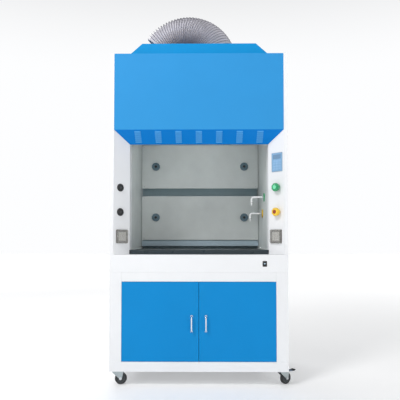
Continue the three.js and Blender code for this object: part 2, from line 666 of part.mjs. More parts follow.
// An upright tube with a foot flange, and a spider under the impeller that carries its motor.
function fanCasing() {
  const wall = 3;
  const foot = CEILING + LINER + GAP;
  const tube = latheZ([
    [FAN_RADIUS - wall, foot], [FAN_RADIUS + 28, foot], [FAN_RADIUS + 28, foot + 4], [FAN_RADIUS, foot + 4],
    [FAN_RADIUS, CASING_TOP], [FAN_RADIUS - wall, CASING_TOP], [FAN_RADIUS - wall, foot]], 24);
  const arms = [0, 1, 2].map((i) => {
    const arm = box(20, FAN_RADIUS - 1, -wall, wall, MOTOR.bottom + 5, MOTOR.bottom + 30);
    return arm.rotateZ((i * 2 * Math.PI) / 3 + 0.4);
  });
  const motor = rod([0, 0, MOTOR.bottom], [0, 0, MOTOR.top], MOTOR.radius, 16);
  return join(tube, ...arms, motor).translate(OUTLET.x, OUTLET.y, 0);
}

const IMPELLER = { z: 1888, hub: 40, tip: 112, blades: 7, chord: 52, pitch: THREE.MathUtils.degToRad(38) };

function impeller() {
  const { z, hub: radius, tip, blades: count, chord, pitch } = IMPELLER;
  const hub = latheZ([
    [0, z - 35], [radius, z - 35], [radius, z + 37], [radius - 12, z + 57], [0, z + 62]], 16);
  const blades = Array.from({ length: count }, (_, i) => {
    const blade = box(radius - 5, tip, -2.5, 2.5, -chord / 2, chord / 2);
    blade.rotateX(pitch).translate(0, 0, z);
    return blade.rotateZ((i / count) * 2 * Math.PI);
  });
  return join(hub, ...blades).translate(OUTLET.x, OUTLET.y, 0);
}

// The duct's centreline: up out of the cowl, then over to the left, a little back, and down.
class DuctLine extends THREE.Curve {
  getPoint(t) {
    const straight = DUCT.bend - DUCT.start;
    const sweep = THREE.MathUtils.degToRad(DUCT.sweep);
    const yaw = THREE.MathUtils.degToRad(DUCT.yaw);
    const along = t * (straight + DUCT.radius * sweep);
    if (along <= straight) {
      return new THREE.Vector3(OUTLET.x, OUTLET.y, DUCT.start + along);
    }
    const angle = (along - straight) / DUCT.radius;
    const reach = DUCT.radius * (1 - Math.cos(angle));
    return new THREE.Vector3(
      OUTLET.x - reach * Math.cos(yaw), OUTLET.y + reach * Math.sin(yaw), DUCT.bend + DUCT.radius * Math.sin(angle));
  }
}

function exhaustDuct() {
  const section = new THREE.Shape().absarc(0, 0, DUCT.bore + DUCT.wall, 0, 2 * Math.PI);
  section.holes.push(new THREE.Path().absarc(0, 0, DUCT.bore, 0, 2 * Math.PI, true));
  return new THREE.ExtrudeGeometry(section, { steps: 18, extrudePath: new DuctLine(), curveSegments: 10 });
}

// ---- assembly -----------------------------------------------------------------------------------
place('base_pan', basePan(), WHITE());
placePair('cabinet_side', cabinetSide(), WHITE);
place('top_rail', topRail(), WHITE());
place('apron', apron(), WHITE());
place('rocker', rocker(), BLACK());
placePair('door', door(), BLUE);
placePair('handle', handle(), STEEL);
placeCaster('front_left', -CASTER_X, CASTER_FRONT, 0, false);
placeCaster('front_right', CASTER_X, CASTER_FRONT, FRONT_RIGHT_YAW, true);
placeCaster('rear_left', -CASTER_X, CASTER_BACK, FRONT_RIGHT_YAW + Math.PI, true);
placeCaster('rear_right', CASTER_X, CASTER_BACK, Math.PI, false);
place('worktop', worktop(), DARK_TOP());
place('cup_sink', cupSink(), BLACK());
placePair('side_panel', sidePanel(), WHITE);
place('rear_panel', rearPanel(), WHITE());
placePair('post', post(), WHITE);
placePair('sash_jamb', sashJamb(), WHITE);
place('sash_lower', sashPane(LOWER_SASH, SASH_BOTTOM + 5 + GAP), CLEAR());
place('sash_upper', sashPane(UPPER_SASH, SASH_BOTTOM), CLEAR());
place('sash_handle', sashHandle(), STEEL());
placePair('sash_belt', sashBelt(), BLACK);
place('pulley_shaft', pulleyShaft(), STEEL());
placePair('belt_idler', beltIdler(), STEEL);
placePair('counterweight', counterweight(), IRON);
placePair('liner', liner(), LINING);
place('chamber_ceiling', chamberCeiling(), LINING());
Object.entries(BAFFLES).forEach(([name, [bottom, top]]) => place(name, baffle(bottom, top), LINING()));
SPOUTS.forEach((item) => place(item.name, spout(item), WHITE()));
place('water_knob', valveKnob(), GREEN(), bevelGroup(1, VALVES.water));
place('gas_knob', valveKnob(), YELLOW(), bevelGroup(1, VALVES.gas));
place('display_panel', displayPanel(), DISPLAY_BLUE(), bevelGroup(1, DISPLAY_Z));
SIDES.forEach(({ side, sign }) => {
  const group = bevelGroup(sign, SOCKET_Z);
  place(`socket_${side}`, socket(), GREY_PLASTIC(), group);
  place(`socket_lid_${side}`, socketLid(), CLEAR(), group);
});
place('fascia', fascia(), BLUE());
place('roof_panel', roofPanel(), WHITE());
place('top_cowl', topCowl(), BLUE());
place('fan_casing', fanCasing(), GREY_PLASTIC());
place('impeller', impeller(), GREY_PLASTIC());
place('exhaust_duct', exhaustDuct(), GREY_PLASTIC());

export default hood;
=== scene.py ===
import json
import math
import bmesh
import bpy
from mathutils import Matrix, Vector


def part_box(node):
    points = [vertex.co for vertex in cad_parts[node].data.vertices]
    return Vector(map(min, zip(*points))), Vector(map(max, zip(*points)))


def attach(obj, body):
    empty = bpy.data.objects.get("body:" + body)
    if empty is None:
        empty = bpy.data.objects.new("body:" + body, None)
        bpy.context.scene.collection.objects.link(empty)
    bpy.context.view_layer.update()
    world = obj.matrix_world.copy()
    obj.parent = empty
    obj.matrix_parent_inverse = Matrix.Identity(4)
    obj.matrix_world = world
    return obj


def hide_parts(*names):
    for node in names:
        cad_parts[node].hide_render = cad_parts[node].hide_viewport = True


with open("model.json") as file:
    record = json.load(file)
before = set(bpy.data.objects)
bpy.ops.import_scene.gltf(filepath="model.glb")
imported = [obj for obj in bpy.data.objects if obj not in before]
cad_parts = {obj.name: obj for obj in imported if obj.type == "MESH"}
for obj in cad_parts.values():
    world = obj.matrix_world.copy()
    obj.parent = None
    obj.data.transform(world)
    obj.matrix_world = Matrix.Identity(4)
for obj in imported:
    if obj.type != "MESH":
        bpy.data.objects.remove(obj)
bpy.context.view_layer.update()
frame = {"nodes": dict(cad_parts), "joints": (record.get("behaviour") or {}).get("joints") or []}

NODES = frame["nodes"]
JOINTS = {j["name"]: j for j in frame["joints"]}
X, Y, Z = Vector((1, 0, 0)), Vector((0, 1, 0)), Vector((0, 0, 1))
SIDES = {"left": -1, "right": 1}


# ---- places taken from the frame ------------------------------------------------------------------
def low(node):
    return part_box(node)[0]


def high(node):
    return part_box(node)[1]


def middle(node):
    return (low(node) + high(node)) / 2


def pivot(joint):
    return Vector(JOINTS[joint]["pos_m"])


FRONT = low("apron").y
BACK = high("rear_panel").y
HALF_WIDTH = high("apron").x
BASE_BOTTOM = low("base_pan").z
WORKTOP_TOP = high("worktop").z
ROOF_TOP = high("roof_panel").z
COWL_TOP = high("top_cowl").z
HALF_OPENING = low("liner_right").x
APRON_Z = middle("apron").z


# ---- camera, lights and floor ---------------------------------------------------------------------
CAMERA_PLACE = (0.041, FRONT - 3.21, 0.916)
CAMERA_PITCH, CAMERA_YAW = math.radians(1.95), math.radians(0.597)
LENS_MM, SENSOR_MM, RISE = 46.0, 36, 0.055
# Each light: where it stands, what it faces, its width and height, and its power in watts.
LIGHTS = {"key": ((-2.4, -3.6, 4.6), (0, -0.2, 1.2), (1.3, 1.3), 132),
          "fill": ((3.4, -3.6, 1.6), (0, 0, 1.0), (2.5, 2.5), 12),
          "rim": ((-1.5, 3.6, 3.6), (0, 0, 1.3), (2.5, 1.5), 50)}
SKY = (0.985, 0.99, 1.0, 1)
HORIZON_GLOW, ZENITH_GLOW = 1.0, 0.33
FLOOR_GLOW_NEAR, FLOOR_GLOW_FAR = 0.16, 0.50
FLOOR_REACH, FLOOR_GAP = 30, 0.0006


def add_object(name, data):
    made = bpy.data.objects.new(name, data)
    bpy.context.scene.collection.objects.link(made)
    return made


def make_camera():
    data = bpy.data.cameras.new("camera")
    data.sensor_width = SENSOR_MM
    data.lens = LENS_MM
    data.shift_y = RISE
    camera = add_object("camera", data)
    camera.location = CAMERA_PLACE
    camera.rotation_euler = (math.pi / 2 + CAMERA_PITCH, 0, CAMERA_YAW)
    bpy.context.scene.camera = camera


def area_light(name, place, target, size, watts):
    data = bpy.data.lights.new(name, "AREA")
    data.shape = "RECTANGLE"
    data.size, data.size_y = size
    data.energy = watts
    light = add_object(name, data)
    light.location = place
    light.rotation_euler = (Vector(target) - Vector(place)).to_track_quat("-Z", "Y").to_euler()


def make_sky():
    """A pale dome, brightest at the horizon."""
    world = bpy.data.worlds.new("studio")
    world.use_nodes = True
    tree = world.node_tree
    sky = tree.nodes["Background"].inputs
    sky["Color"].default_value = SKY
    split = tree.nodes.new("ShaderNodeSeparateXYZ")
    tree.links.new(tree.nodes.new("ShaderNodeTexCoord").outputs["Generated"], split.inputs["Vector"])
    dome = tree.nodes.new("ShaderNodeMapRange")
    dome.interpolation_type = "SMOOTHSTEP"
    span = {"From Min": 0.30, "From Max": 0.75, "To Min": HORIZON_GLOW, "To Max": ZENITH_GLOW}
    for socket, value in span.items():
        dome.inputs[socket].default_value = value
    tree.links.new(split.outputs["Z"], dome.inputs["Value"])
    tree.links.new(dome.outputs["Result"], sky["Strength"])
    bpy.context.scene.world = world


def make_studio():
    make_sky()
    bpy.context.scene.view_settings.view_transform = "Standard"
    for name, setting in LIGHTS.items():
        area_light(name, *setting)
    mesh = bpy.data.meshes.new("floor")
    corners = [(x * FLOOR_REACH, y * FLOOR_REACH, 0) for x, y in ((-1, -1), (1, -1), (1, 1), (-1, 1))]
    mesh.from_pydata(corners, [], [(0, 1, 2, 3)])
    mesh.materials.append(plain_floor())
    floor = add_object("floor", mesh)
    floor.location.z = -FLOOR_GAP


# ---- materials ------------------------------------------------------------------------------------
class Nodes:
    """A Principled material and the few node groups that the surfaces share."""

    def __init__(self, name, color, roughness=0.4, metallic=0.0, **sockets):
        self.material = bpy.data.materials.new(name)
        self.material.use_nodes = True
        self.tree = self.material.node_tree
        self.inputs = self.tree.nodes["Principled BSDF"].inputs
        self.inputs["Base Color"].default_value = (*color, 1)
        self.inputs["Roughness"].default_value = roughness
        self.inputs["Metallic"].default_value = metallic
        for socket, value in sockets.items():
            self.inputs[socket.replace("_", " ")].default_value = value
        self.color = color
        self.coordinates = self.add("ShaderNodeTexCoord").outputs

    def add(self, kind, **inputs):
        node = self.tree.nodes.new(kind)
        for key, value in inputs.items():
            node.inputs[key.replace("_", " ")].default_value = value
        return node

    def link(self, output, socket):
        self.tree.links.new(output, socket)

    def noise(self, scale, detail=3.0, stretch=(1, 1, 1), roughness=0.55):
        mapping = self.add("ShaderNodeMapping", Scale=stretch)
        self.link(self.coordinates["Object"], mapping.inputs["Vector"])
        noise = self.add("ShaderNodeTexNoise", Scale=scale, Detail=detail, Roughness=roughness)
        self.link(mapping.outputs["Vector"], noise.inputs["Vector"])
        return noise.outputs["Fac"]

    def spread(self, fac, low_value, high_value, start=0.3, end=0.7):
        """Maps a factor's run from start to end onto the two values."""
        span = {"From_Min": start, "From_Max": end, "To_Min": low_value, "To_Max": high_value}
        ramp = self.add("ShaderNodeMapRange", **span)
        self.link(fac, ramp.inputs["Value"])
        return ramp.outputs["Result"]

    def distance(self, operation, point=(0, 0, 0)):
        """LENGTH measures from the origin, DISTANCE from the point."""
        reach = self.add("ShaderNodeVectorMath")
        reach.operation = operation
        self.link(self.coordinates["Object"], reach.inputs[0])
        reach.inputs[1].default_value = point
        return reach.outputs["Value"]

    def blend_color(self, fac, color, below=None):
        """Lays a colour over another, or over whatever feeds the base colour, by a mask."""
        mix = self.add("ShaderNodeMix")
        mix.data_type = "RGBA"
        base = self.inputs["Base Color"]
        if base.is_linked:
            self.link(base.links[0].from_socket, mix.inputs["A"])
        else:
            mix.inputs["A"].default_value = (*(below or self.color), 1)
        mix.inputs["B"].default_value = (*color, 1)
        self.link(fac, mix.inputs["Factor"])
        self.link(mix.outputs["Result"], base)

    def tint(self, fac, dark, light, start=0.3, end=0.7):
        """Base colour between dark and light shares of the material's colour."""
        pale = [min(1.0, c * light) for c in self.color]
        self.blend_color(self.spread(fac, 0, 1, start, end), pale, [c * dark for c in self.color])

    def gloss(self, fac, smooth, rough, start=0.3, end=0.7):
        self.link(self.spread(fac, smooth, rough, start, end), self.inputs["Roughness"])

    def bump(self, fac, strength, distance):
        bump = self.add("ShaderNodeBump", Strength=strength, Distance=distance)
        self.link(fac, bump.inputs["Height"])
        self.link(bump.outputs["Normal"], self.inputs["Normal"])


def plain_floor():
    """Pale sheet that glows a little more with distance, so that it meets the white backdrop softly."""
    floor = Nodes("floor", (0.90, 0.905, 0.91), 0.6, Emission_Color=(1, 1, 1, 1))
    floor.tint(floor.noise(1.5), 0.985, 1.01)
    glow = floor.spread(floor.distance("LENGTH"), FLOOR_GLOW_NEAR, FLOOR_GLOW_FAR, 1.0, 7.0)
    floor.link(glow, floor.inputs["Emission Strength"])
    return floor.material


def powder_coat(name, color, orange_peel=0.10, roughness=0.36, sheen=0.5, underside_shade=None):
    """Powder-coated sheet: fine orange peel, faint clouding, handling marks, and, where a colour is given,
    painted shade on its down-facing faces.
    """
    coat = Nodes(name, color, roughness, Coat_Weight=0.24 * sheen, Coat_Roughness=0.18,
                 Specular_IOR_Level=sheen)
    coat.tint(coat.noise(2.2, 4), 0.965, 1.02)
    if underside_shade:
        # Faces that look downward blend into the darker colour given here: painted shade on the underside.
        split = coat.add("ShaderNodeSeparateXYZ")
        coat.link(coat.coordinates["Normal"], split.inputs["Vector"])
        coat.blend_color(coat.spread(split.outputs["Z"], 1, 0, -0.35, -0.15), underside_shade)
    coat.gloss(coat.noise(5.0, 6), roughness - 0.06, roughness + 0.10)
    coat.bump(coat.noise(420, 2), orange_peel, 0.0004)
    return coat.material


def laminate(name, color):
    """Satin chemical-resistant board with faint mottling and a few stains."""
    board = Nodes(name, color, 0.42)
    board.tint(board.noise(6, 5), 0.93, 1.04)
    stain = board.spread(board.noise(3.1, 6, roughness=0.7), 0, 0.16, 0.60, 0.78)
    board.blend_color(stain, [c * f for c, f in zip(color, (0.86, 0.84, 0.76))])
    board.gloss(board.noise(9, 6), 0.34, 0.52)
    board.bump(board.noise(160, 3), 0.08, 0.0004)
    return board.material


def resin_slab(name, color):
    """Cast resin worktop, finely speckled, with rubbed patches."""
    slab = Nodes(name, color, 0.35)
    slab.tint(slab.noise(700, 2), 0.82, 1.22, 0.42, 0.62)
    slab.gloss(slab.noise(7, 6), 0.22, 0.5)
    slab.bump(slab.noise(300, 3), 0.10, 0.0003)
    return slab.material


def moulded(name, color, roughness=0.4, grain=0.12, **sockets):
    """Moulded plastic with a fine spark-eroded grain."""
    plastic = Nodes(name, color, roughness, **sockets)
    plastic.tint(plastic.noise(30, 3), 0.94, 1.06)
    plastic.gloss(plastic.noise(45, 4), roughness - 0.07, roughness + 0.09)
    plastic.bump(plastic.noise(1500, 2), grain, 0.0002)
    return plastic.material


def rubber(name, color):
    """Matt rubber, dusty in patches."""
    tread = Nodes(name, color, 0.7)
    tread.tint(tread.noise(60, 5), 0.75, 1.5)
    dust = tread.spread(tread.noise(38, 6, roughness=0.7), 0, 0.35, 0.52, 0.75)
    tread.blend_color(dust, (0.19, 0.18, 0.17))
    tread.gloss(tread.noise(70, 4), 0.55, 0.85)
    tread.bump(tread.noise(900, 4), 0.3, 0.0004)
    return tread.material


def metal(name, color, roughness, grain=(1, 1, 1), scale=60, scuffs=0.08):
    """Bare or plated metal; grain stretches the marks along one direction for a brushed finish."""
    plated = Nodes(name, color, roughness, 1.0)
    marks = plated.noise(scale, 6, grain, 0.6)
    plated.tint(marks, 0.88, 1.06)
    plated.gloss(marks, max(0.04, roughness - scuffs), roughness + scuffs)
    plated.bump(marks, 0.05, 0.0003)
    return plated.material


def clear(name, color, roughness=0.03, alpha=0.25):
    """Clear sheet that lets most of the light straight through, with faint smears in its gloss."""
    sheet = Nodes(name, color, roughness, Alpha=alpha, IOR=1.5)
    sheet.gloss(sheet.noise(9, 5), roughness, roughness + 0.09, 0.4, 0.8)
    sheet.tint(sheet.noise(4, 3), 0.97, 1.0)
    return sheet.material


def duct_skin(name, color):
    """Translucent ribbed PVC: clouded, with painted brown shade inside the bend."""
    skin = Nodes(name, color, 0.42, Alpha=0.88, IOR=1.45)
    skin.tint(skin.noise(14, 5), 0.90, 1.06)
    # Brown painted shade on the inside of the bend, patchy by noise.
    bend_shade = skin.add("ShaderNodeMath")
    bend_shade.operation = "MULTIPLY"
    skin.link(skin.spread(skin.distance("DISTANCE", BEND_MIDDLE), 0.9, 0.0, 0.17, 0.29), bend_shade.inputs[0])
    skin.link(skin.spread(skin.noise(8, 4), 0.35, 1.0), bend_shade.inputs[1])
    skin.blend_color(bend_shade.outputs["Value"], (0.30, 0.185, 0.13))
    skin.gloss(skin.noise(30, 3), 0.34, 0.52)
    return skin.material


WHITE = powder_coat("white powder coat", (0.80, 0.81, 0.825))
# The fascia's slight red share is painted sheen, and its darker blue on down-facing faces is painted shade.
FASCIA_BLUE = powder_coat("sky blue powder coat", (0.030, 0.270, 0.600), 0.12, 0.34, 0.12, (0, 0.205, 0.650))
COWL_BLUE = powder_coat("cowl blue powder coat", (0.004, 0.265, 0.600), 0.12, 0.34, 0.12)
# The louvre blue is the fascia's paint made lighter: painted highlight on the hoods.
LOUVRE_BLUE_HIGHLIGHT = powder_coat("louvre blue powder coat with painted highlight", (0.070, 0.330, 0.720), 0.12, 0.34, 0.12)
DOOR_BLUE = powder_coat("door blue powder coat", (0.002, 0.235, 0.580), 0.12, 0.36, 0.12)
LINER = laminate("liner board", (0.66, 0.70, 0.69))
# Darker, bluer copies of the liner for the bottom baffle and the plenum board: the bluish tint is the board's
# own, the darkening is painted shade under the baffles.
LINER_BELOW_SHADED = laminate("bottom baffle board in painted shade", (0.40, 0.51, 0.58))
LINER_BEHIND_SHADED = laminate("plenum board in painted shade", (0.36, 0.50, 0.55))
RESIN = resin_slab("worktop resin", (0.010, 0.024, 0.032))
CHROME = metal("chrome", (0.80, 0.81, 0.83), 0.12, scale=25, scuffs=0.05)
ZINC = metal("zinc plate", (0.62, 0.64, 0.66), 0.34, scale=35, scuffs=0.10)
# The fork zinc is plain zinc darkened and greened: painted shade, for the forks in shadow.
SHADED_FORK_ZINC = metal("fork zinc in painted shade", (0.42, 0.47, 0.48), 0.30, scale=30, scuffs=0.10)
ALUMINIUM = metal("anodised aluminium", (0.74, 0.75, 0.77), 0.30, (0.04, 1, 1), 240, 0.07)
BRASS = metal("brass", (0.62, 0.45, 0.20), 0.32, scale=40)
IRON = metal("cast weight", (0.09, 0.095, 0.10), 0.62, scale=55, scuffs=0.15)
TYRE = rubber("tyre", (0.020, 0.022, 0.024))
BELT = rubber("belt rubber", (0.018, 0.018, 0.019))
GLASS = clear("safety glass", (0.80, 0.90, 0.87), 0.02, 0.16)
LID_CLEAR = clear("clear cover", (0.66, 0.66, 0.63), 0.06, 0.14)
LID_SMOKE = clear("smoked cover edge", (0.30, 0.29, 0.27), 0.10, 0.5)
BLACK = moulded("black moulding", (0.012, 0.013, 0.015), 0.42)
GREY = moulded("grey moulding", (0.36, 0.38, 0.39), 0.45)
PALE_GREY = moulded("pale grey moulding", (0.58, 0.59, 0.60), 0.45)
# The plug cap is a grey a little lighter than the black plug: painted highlight at the plug's centre.
CAP_GREY_HIGHLIGHT = moulded("plug cap with painted highlight", (0.050, 0.053, 0.056), 0.4)
MARK_WHITE = moulded("mark white", (0.85, 0.85, 0.85), 0.4)
EPOXY = moulded("white epoxy", (0.84, 0.85, 0.86), 0.25, 0.04, Coat_Weight=0.4)
GREEN = moulded("green moulding", (0.010, 0.330, 0.120), 0.28, 0.05, Coat_Weight=0.3)
YELLOW = moulded("yellow moulding", (0.860, 0.560, 0.020), 0.28, 0.05, Coat_Weight=0.3)
# The green cap's pale green stands in for the bright spot on the water knob: painted highlight.
GREEN_CAP_HIGHLIGHT = moulded("green cap with painted highlight", (0.20, 0.72, 0.42), 0.25, 0.04, Coat_Weight=0.3)
RED_CAP = moulded("red cap", (0.30, 0.035, 0.010), 0.25, 0.04, Coat_Weight=0.3)
WHEEL_HUB = moulded("wheel hub", (0.045, 0.052, 0.055), 0.4)
PEDAL_GREY = moulded("pedal grey", (0.12, 0.16, 0.22), 0.4)
ROCKER_BLACK = moulded("rocker black", (0.010, 0.011, 0.013), 0.25)
WINDOW_BLUE = moulded("window blue", (0.42, 0.56, 0.68), 0.3)
SOCKET_PLATE = moulded("socket plate", (0.105, 0.100, 0.090), 0.38)
SOCKET_FACE = moulded("socket face", (0.40, 0.39, 0.36), 0.35)
CASING_GREY = moulded("casing plastic", (0.50, 0.51, 0.52), 0.45)
MOTOR_GREY = moulded("motor shell", (0.055, 0.065, 0.075), 0.4)
BLADE_GREY = moulded("blade plastic", (0.40, 0.41, 0.42), 0.4)
KNOB_TEAL = moulded("knob teal", (0.115, 0.190, 0.235), 0.4)
LAMP_GLASS = moulded("lamp glass", (0.86, 0.88, 0.88), 0.2, 0.02, Emission_Strength=6.0)
SINK_BLACK = moulded("sink polymer", (0.022, 0.023, 0.025), 0.38)
MEMBRANE = moulded("membrane blue", (0.21, 0.39, 0.60), 0.3, 0.04)
SCREEN = moulded("screen", (0.15, 0.27, 0.42), 0.15, 0.02)
KEY_BLUE = moulded("key blue", (0.25, 0.44, 0.66), 0.35, 0.04)
PANEL_FRAME = moulded("panel frame", (0.27, 0.38, 0.50), 0.35, 0.05)


# ---- mesh helpers ---------------------------------------------------------------------------------
def shift(x, y, z):
    return Matrix.Translation((x, y, z))


def spin(turn, axis="Z"):
    return Matrix.Rotation(turn, 4, axis)


def along_axis(origin, direction):
    """A frame at origin whose local Z runs along direction."""
    return Matrix.LocRotScale(Vector(origin), Vector(direction).to_track_quat("Z", "Y"), None)


def mm(*points):
    """Points of an outline or profile, written in millimetres, as metres."""
    return [(u * 0.001, v * 0.001, *share) for u, v, *share in points]


def around(count):
    """The angles of a full turn in equal steps."""
    return [2 * math.pi * i / count for i in range(count)]


def mirrored(profile):
    """A profile below local z = 0, carried on above it."""
    return profile + [(radius, -height) for radius, height in reversed(profile)]


def circle(radius, count=16, centre=(0, 0)):
    return [(centre[0] + radius * math.cos(a), centre[1] + radius * math.sin(a)) for a in around(count)]


def rounded_rectangle(width, height, radius, steps=5, centre=(0, 0)):
    points = []
    for quarter, (sx, sz) in enumerate(((1, 1), (-1, 1), (-1, -1), (1, -1))):
        x = centre[0] + sx * (width / 2 - radius)
        z = centre[1] + sz * (height / 2 - radius)
        for i in range(steps + 1):
            angle = math.pi / 2 * (quarter + i / steps)
            points.append((x + radius * math.cos(angle), z + radius * math.sin(angle)))
    return points


def arc_points(centre, start, axis, angle, steps):
    """Points turned about an axis, after the start point."""
    centre, arm = Vector(centre), Vector(start) - Vector(centre)
    return [centre + Matrix.Rotation(angle * i / steps, 3, axis) @ arm for i in range(1, steps + 1)]


def absorb(target, part, matrix=None):
    """Adds one bmesh to another through a matrix, and frees it."""
    if matrix is not None:
        part.transform(matrix)
    mesh = bpy.data.meshes.new("part")
    part.to_mesh(mesh)
    part.free()
    target.from_mesh(mesh)
    bpy.data.meshes.remove(mesh)
    return target


def rounded_edges(part, size, segments=2, angle=25):
    sharp = [e for e in part.edges if e.is_manifold and e.calc_face_angle(0) > math.radians(angle)]
    bmesh.ops.bevel(part, geom=sharp, offset=size, segments=segments, affect="EDGES", profile=0.5,
                    clamp_overlap=True)


def join_rows(part, rows, closed=True):
    """Faces between neighbouring rows of vertices. A row of one vertex is a pole."""
    for first, second in zip(rows, rows[1:]):
        count = max(len(first), len(second))
        for i in range(count if closed else count - 1):
            j = (i + 1) % count
            corners = [row[k % len(row)] for row, k in ((first, i), (first, j), (second, j), (second, i))]
            corners = list(dict.fromkeys(corners))
            if len(corners) > 2:
                part.faces.new(corners)
    bmesh.ops.recalc_face_normals(part, faces=part.faces)


def block(target, lo, hi, bevel=0.0008, segments=2, matrix=None):
    """A box with rounded edges between two corners."""
    part = bmesh.new()
    bmesh.ops.create_cube(part, size=1)
    lo, hi = Vector(lo), Vector(hi)
    part.transform(Matrix.Translation((lo + hi) / 2) @ Matrix.Diagonal((*(hi - lo), 1)))
    if bevel:
        rounded_edges(part, bevel, segments)
    return absorb(target, part, matrix)


def turned(target, profile, matrix=None, sides=40, flutes=0, depth=0):
    """A profile of (radius, height) points turned about local Z, which starts and ends on the axis, or
    closes. A third value is the share of the depth by which flutes grip it in there."""
    part = bmesh.new()
    rings = []
    for radius, height, *share in profile:
        grip = depth * share[0] if share else 0
        ring = []
        for angle in around(sides) if radius > 1e-7 else [0]:
            r = radius * (1 - grip * max(0.0, math.cos(flutes * angle)) ** 1.3)
            ring.append(part.verts.new((r * math.cos(angle), r * math.sin(angle), height)))
        rings.append(ring)
    join_rows(part, rings)
    bmesh.ops.remove_doubles(part, verts=part.verts, dist=1e-7)
    bmesh.ops.recalc_face_normals(part, faces=part.faces)
    return absorb(target, part, matrix)


def rod(target, radius, start, end, matrix, sides=20, chamfer=0):
    """A round bar along local Z."""
    tip = radius - chamfer
    edge = [(tip, start), (radius, start + chamfer), (radius, end - chamfer), (tip, end)]
    return turned(target, [(0, start), *dict.fromkeys(edge), (0, end)], matrix, sides)


def collar(target, bore, radius, start, end, matrix, sides):
    """A plain ring along local Z."""
    section = [(bore, start), (radius, start), (radius, end), (bore, end), (bore, start)]
    return turned(target, section, matrix, sides)


def swept(target, path, section, up=Z, closed=False):
    """A closed section carried along a path of points, with flat ends unless the path is closed."""
    part = bmesh.new()
    last = len(path) - 1
    rings = []
    for i, spot in enumerate(path):
        before = path[i - 1] if i > 0 or closed else path[0]
        after = path[(i + 1) % len(path)] if i < last or closed else path[-1]
        tangent = (after - before).normalized()
        side = tangent.cross(up)
        if side.length < 1e-4:
            side = tangent.cross(X)
        side.normalize()
        top = side.cross(tangent)
        rings.append([part.verts.new(spot + side * u + top * v) for u, v in section])
    if not closed:
        part.faces.new(list(reversed(rings[0])))
        part.faces.new(rings[-1])
    join_rows(part, rings + rings[:1] if closed else rings)
    return absorb(target, part)


def plate(target, outline, depth, matrix=None, bevel=0.0005, segments=2, holes=()):
    """A flat outline in local X and Z, from local y = 0 back to y = depth, with holes cut through."""
    part = bmesh.new()
    edges = []
    for loop in (outline, *holes):
        verts = [part.verts.new((u, 0, v)) for u, v in loop]
        edges += [part.edges.new((a, b)) for a, b in zip(verts, verts[1:] + verts[:1])]
    faces = bmesh.ops.triangle_fill(part, use_beauty=True, use_dissolve=True, edges=edges)["geom"]
    faces = [f for f in faces if isinstance(f, bmesh.types.BMFace)]
    grown = bmesh.ops.extrude_face_region(part, geom=faces)["geom"]
    moved = [v for v in grown if isinstance(v, bmesh.types.BMVert)]
    bmesh.ops.translate(part, verts=moved, vec=(0, depth, 0))
    bmesh.ops.recalc_face_normals(part, faces=part.faces)
    if bevel:
        rounded_edges(part, bevel, segments, 40)
    return absorb(target, part, matrix)


def piece(name, part, material, body, replaces=(), smooth=32):
    """Finishes a bmesh as a piece that rides on a body and takes a slot's finish."""
    mesh = bpy.data.meshes.new(name)
    part.to_mesh(mesh)
    part.free()
    mesh.materials.append(material)
    for polygon in mesh.polygons:
        polygon.use_smooth = True
    mesh.set_sharp_from_angle(angle=math.radians(smooth))
    made = add_object(name, mesh)
    made.modifiers.new("weighted", "WEIGHTED_NORMAL").keep_sharp = True
    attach(made, body)
    if replaces:
        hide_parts(*replaces)
    return made


def thicken(made, thickness, offset):
    wall = made.modifiers.new("wall", "SOLIDIFY")
    wall.thickness = thickness
    wall.offset = offset


def screw(target, origin, outward, radius=0.004):
    """A cross-recessed pan head."""
    shares = [(0, 0), (1, 0), (1, 0.25), (0.85, 0.5), (0.55, 0.66), (0.3, 0.7), (0.26, 0.3), (0, 0.2)]
    turned(target, [(radius * u, radius * v) for u, v in shares], along_axis(origin, outward), 14)


def hex_bolt(target, origin, outward, across=0.013, height=0.006):
    """A hexagon head on its washer."""
    place = along_axis(origin, outward)
    washer, top, corner = 0.0012, height + 0.0008, across * 0.56
    rod(target, across * 0.75, 0, washer, place, 24)
    head = [(0, washer), (corner, washer), (corner, height), (across * 0.45, top), (0, top)]
    turned(target, head, place, 6)


# ---- CAD sheets that keep their own shape ---------------------------------------------------------
def keep_node(name, material, bevel=0.0006):
    """A CAD node shown as it is, with softened folds and its finish."""
    node = NODES[name]
    node.data.materials.clear()
    node.data.materials.append(material)
    node.modifiers.new("weld", "WELD").merge_threshold = 1e-6
    flat = node.modifiers.new("flat", "DECIMATE")
    flat.decimate_type = "DISSOLVE"
    flat.angle_limit = math.radians(1)
    soft = node.modifiers.new("soft", "BEVEL")
    soft.width = bevel
    soft.segments = 2
    soft.limit_method = "ANGLE"
    soft.angle_limit = math.radians(30)
    soft.harden_normals = False


# ---- exhaust duct ---------------------------------------------------------------------------------
DUCT_RADIUS = 0.129
DUCT_RISE = 0.032
BEND_RADIUS = 0.250
BEND_SWEEP = math.radians(140)
BEND_YAW = math.radians(12)
RIB_PITCH = 0.0152
RIB_DEPTH = 0.0110
RIB_CREST = DUCT_RADIUS - 0.0035
DUCT_LOW, DUCT_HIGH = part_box("exhaust_duct")
DUCT_FOOT = Vector((DUCT_HIGH.x - DUCT_RADIUS, DUCT_LOW.y + DUCT_RADIUS, DUCT_LOW.z))
BEND_LEAN = Y * math.sin(BEND_YAW) - X * math.cos(BEND_YAW)
BEND_MIDDLE = DUCT_FOOT + Z * DUCT_RISE + BEND_LEAN * BEND_RADIUS


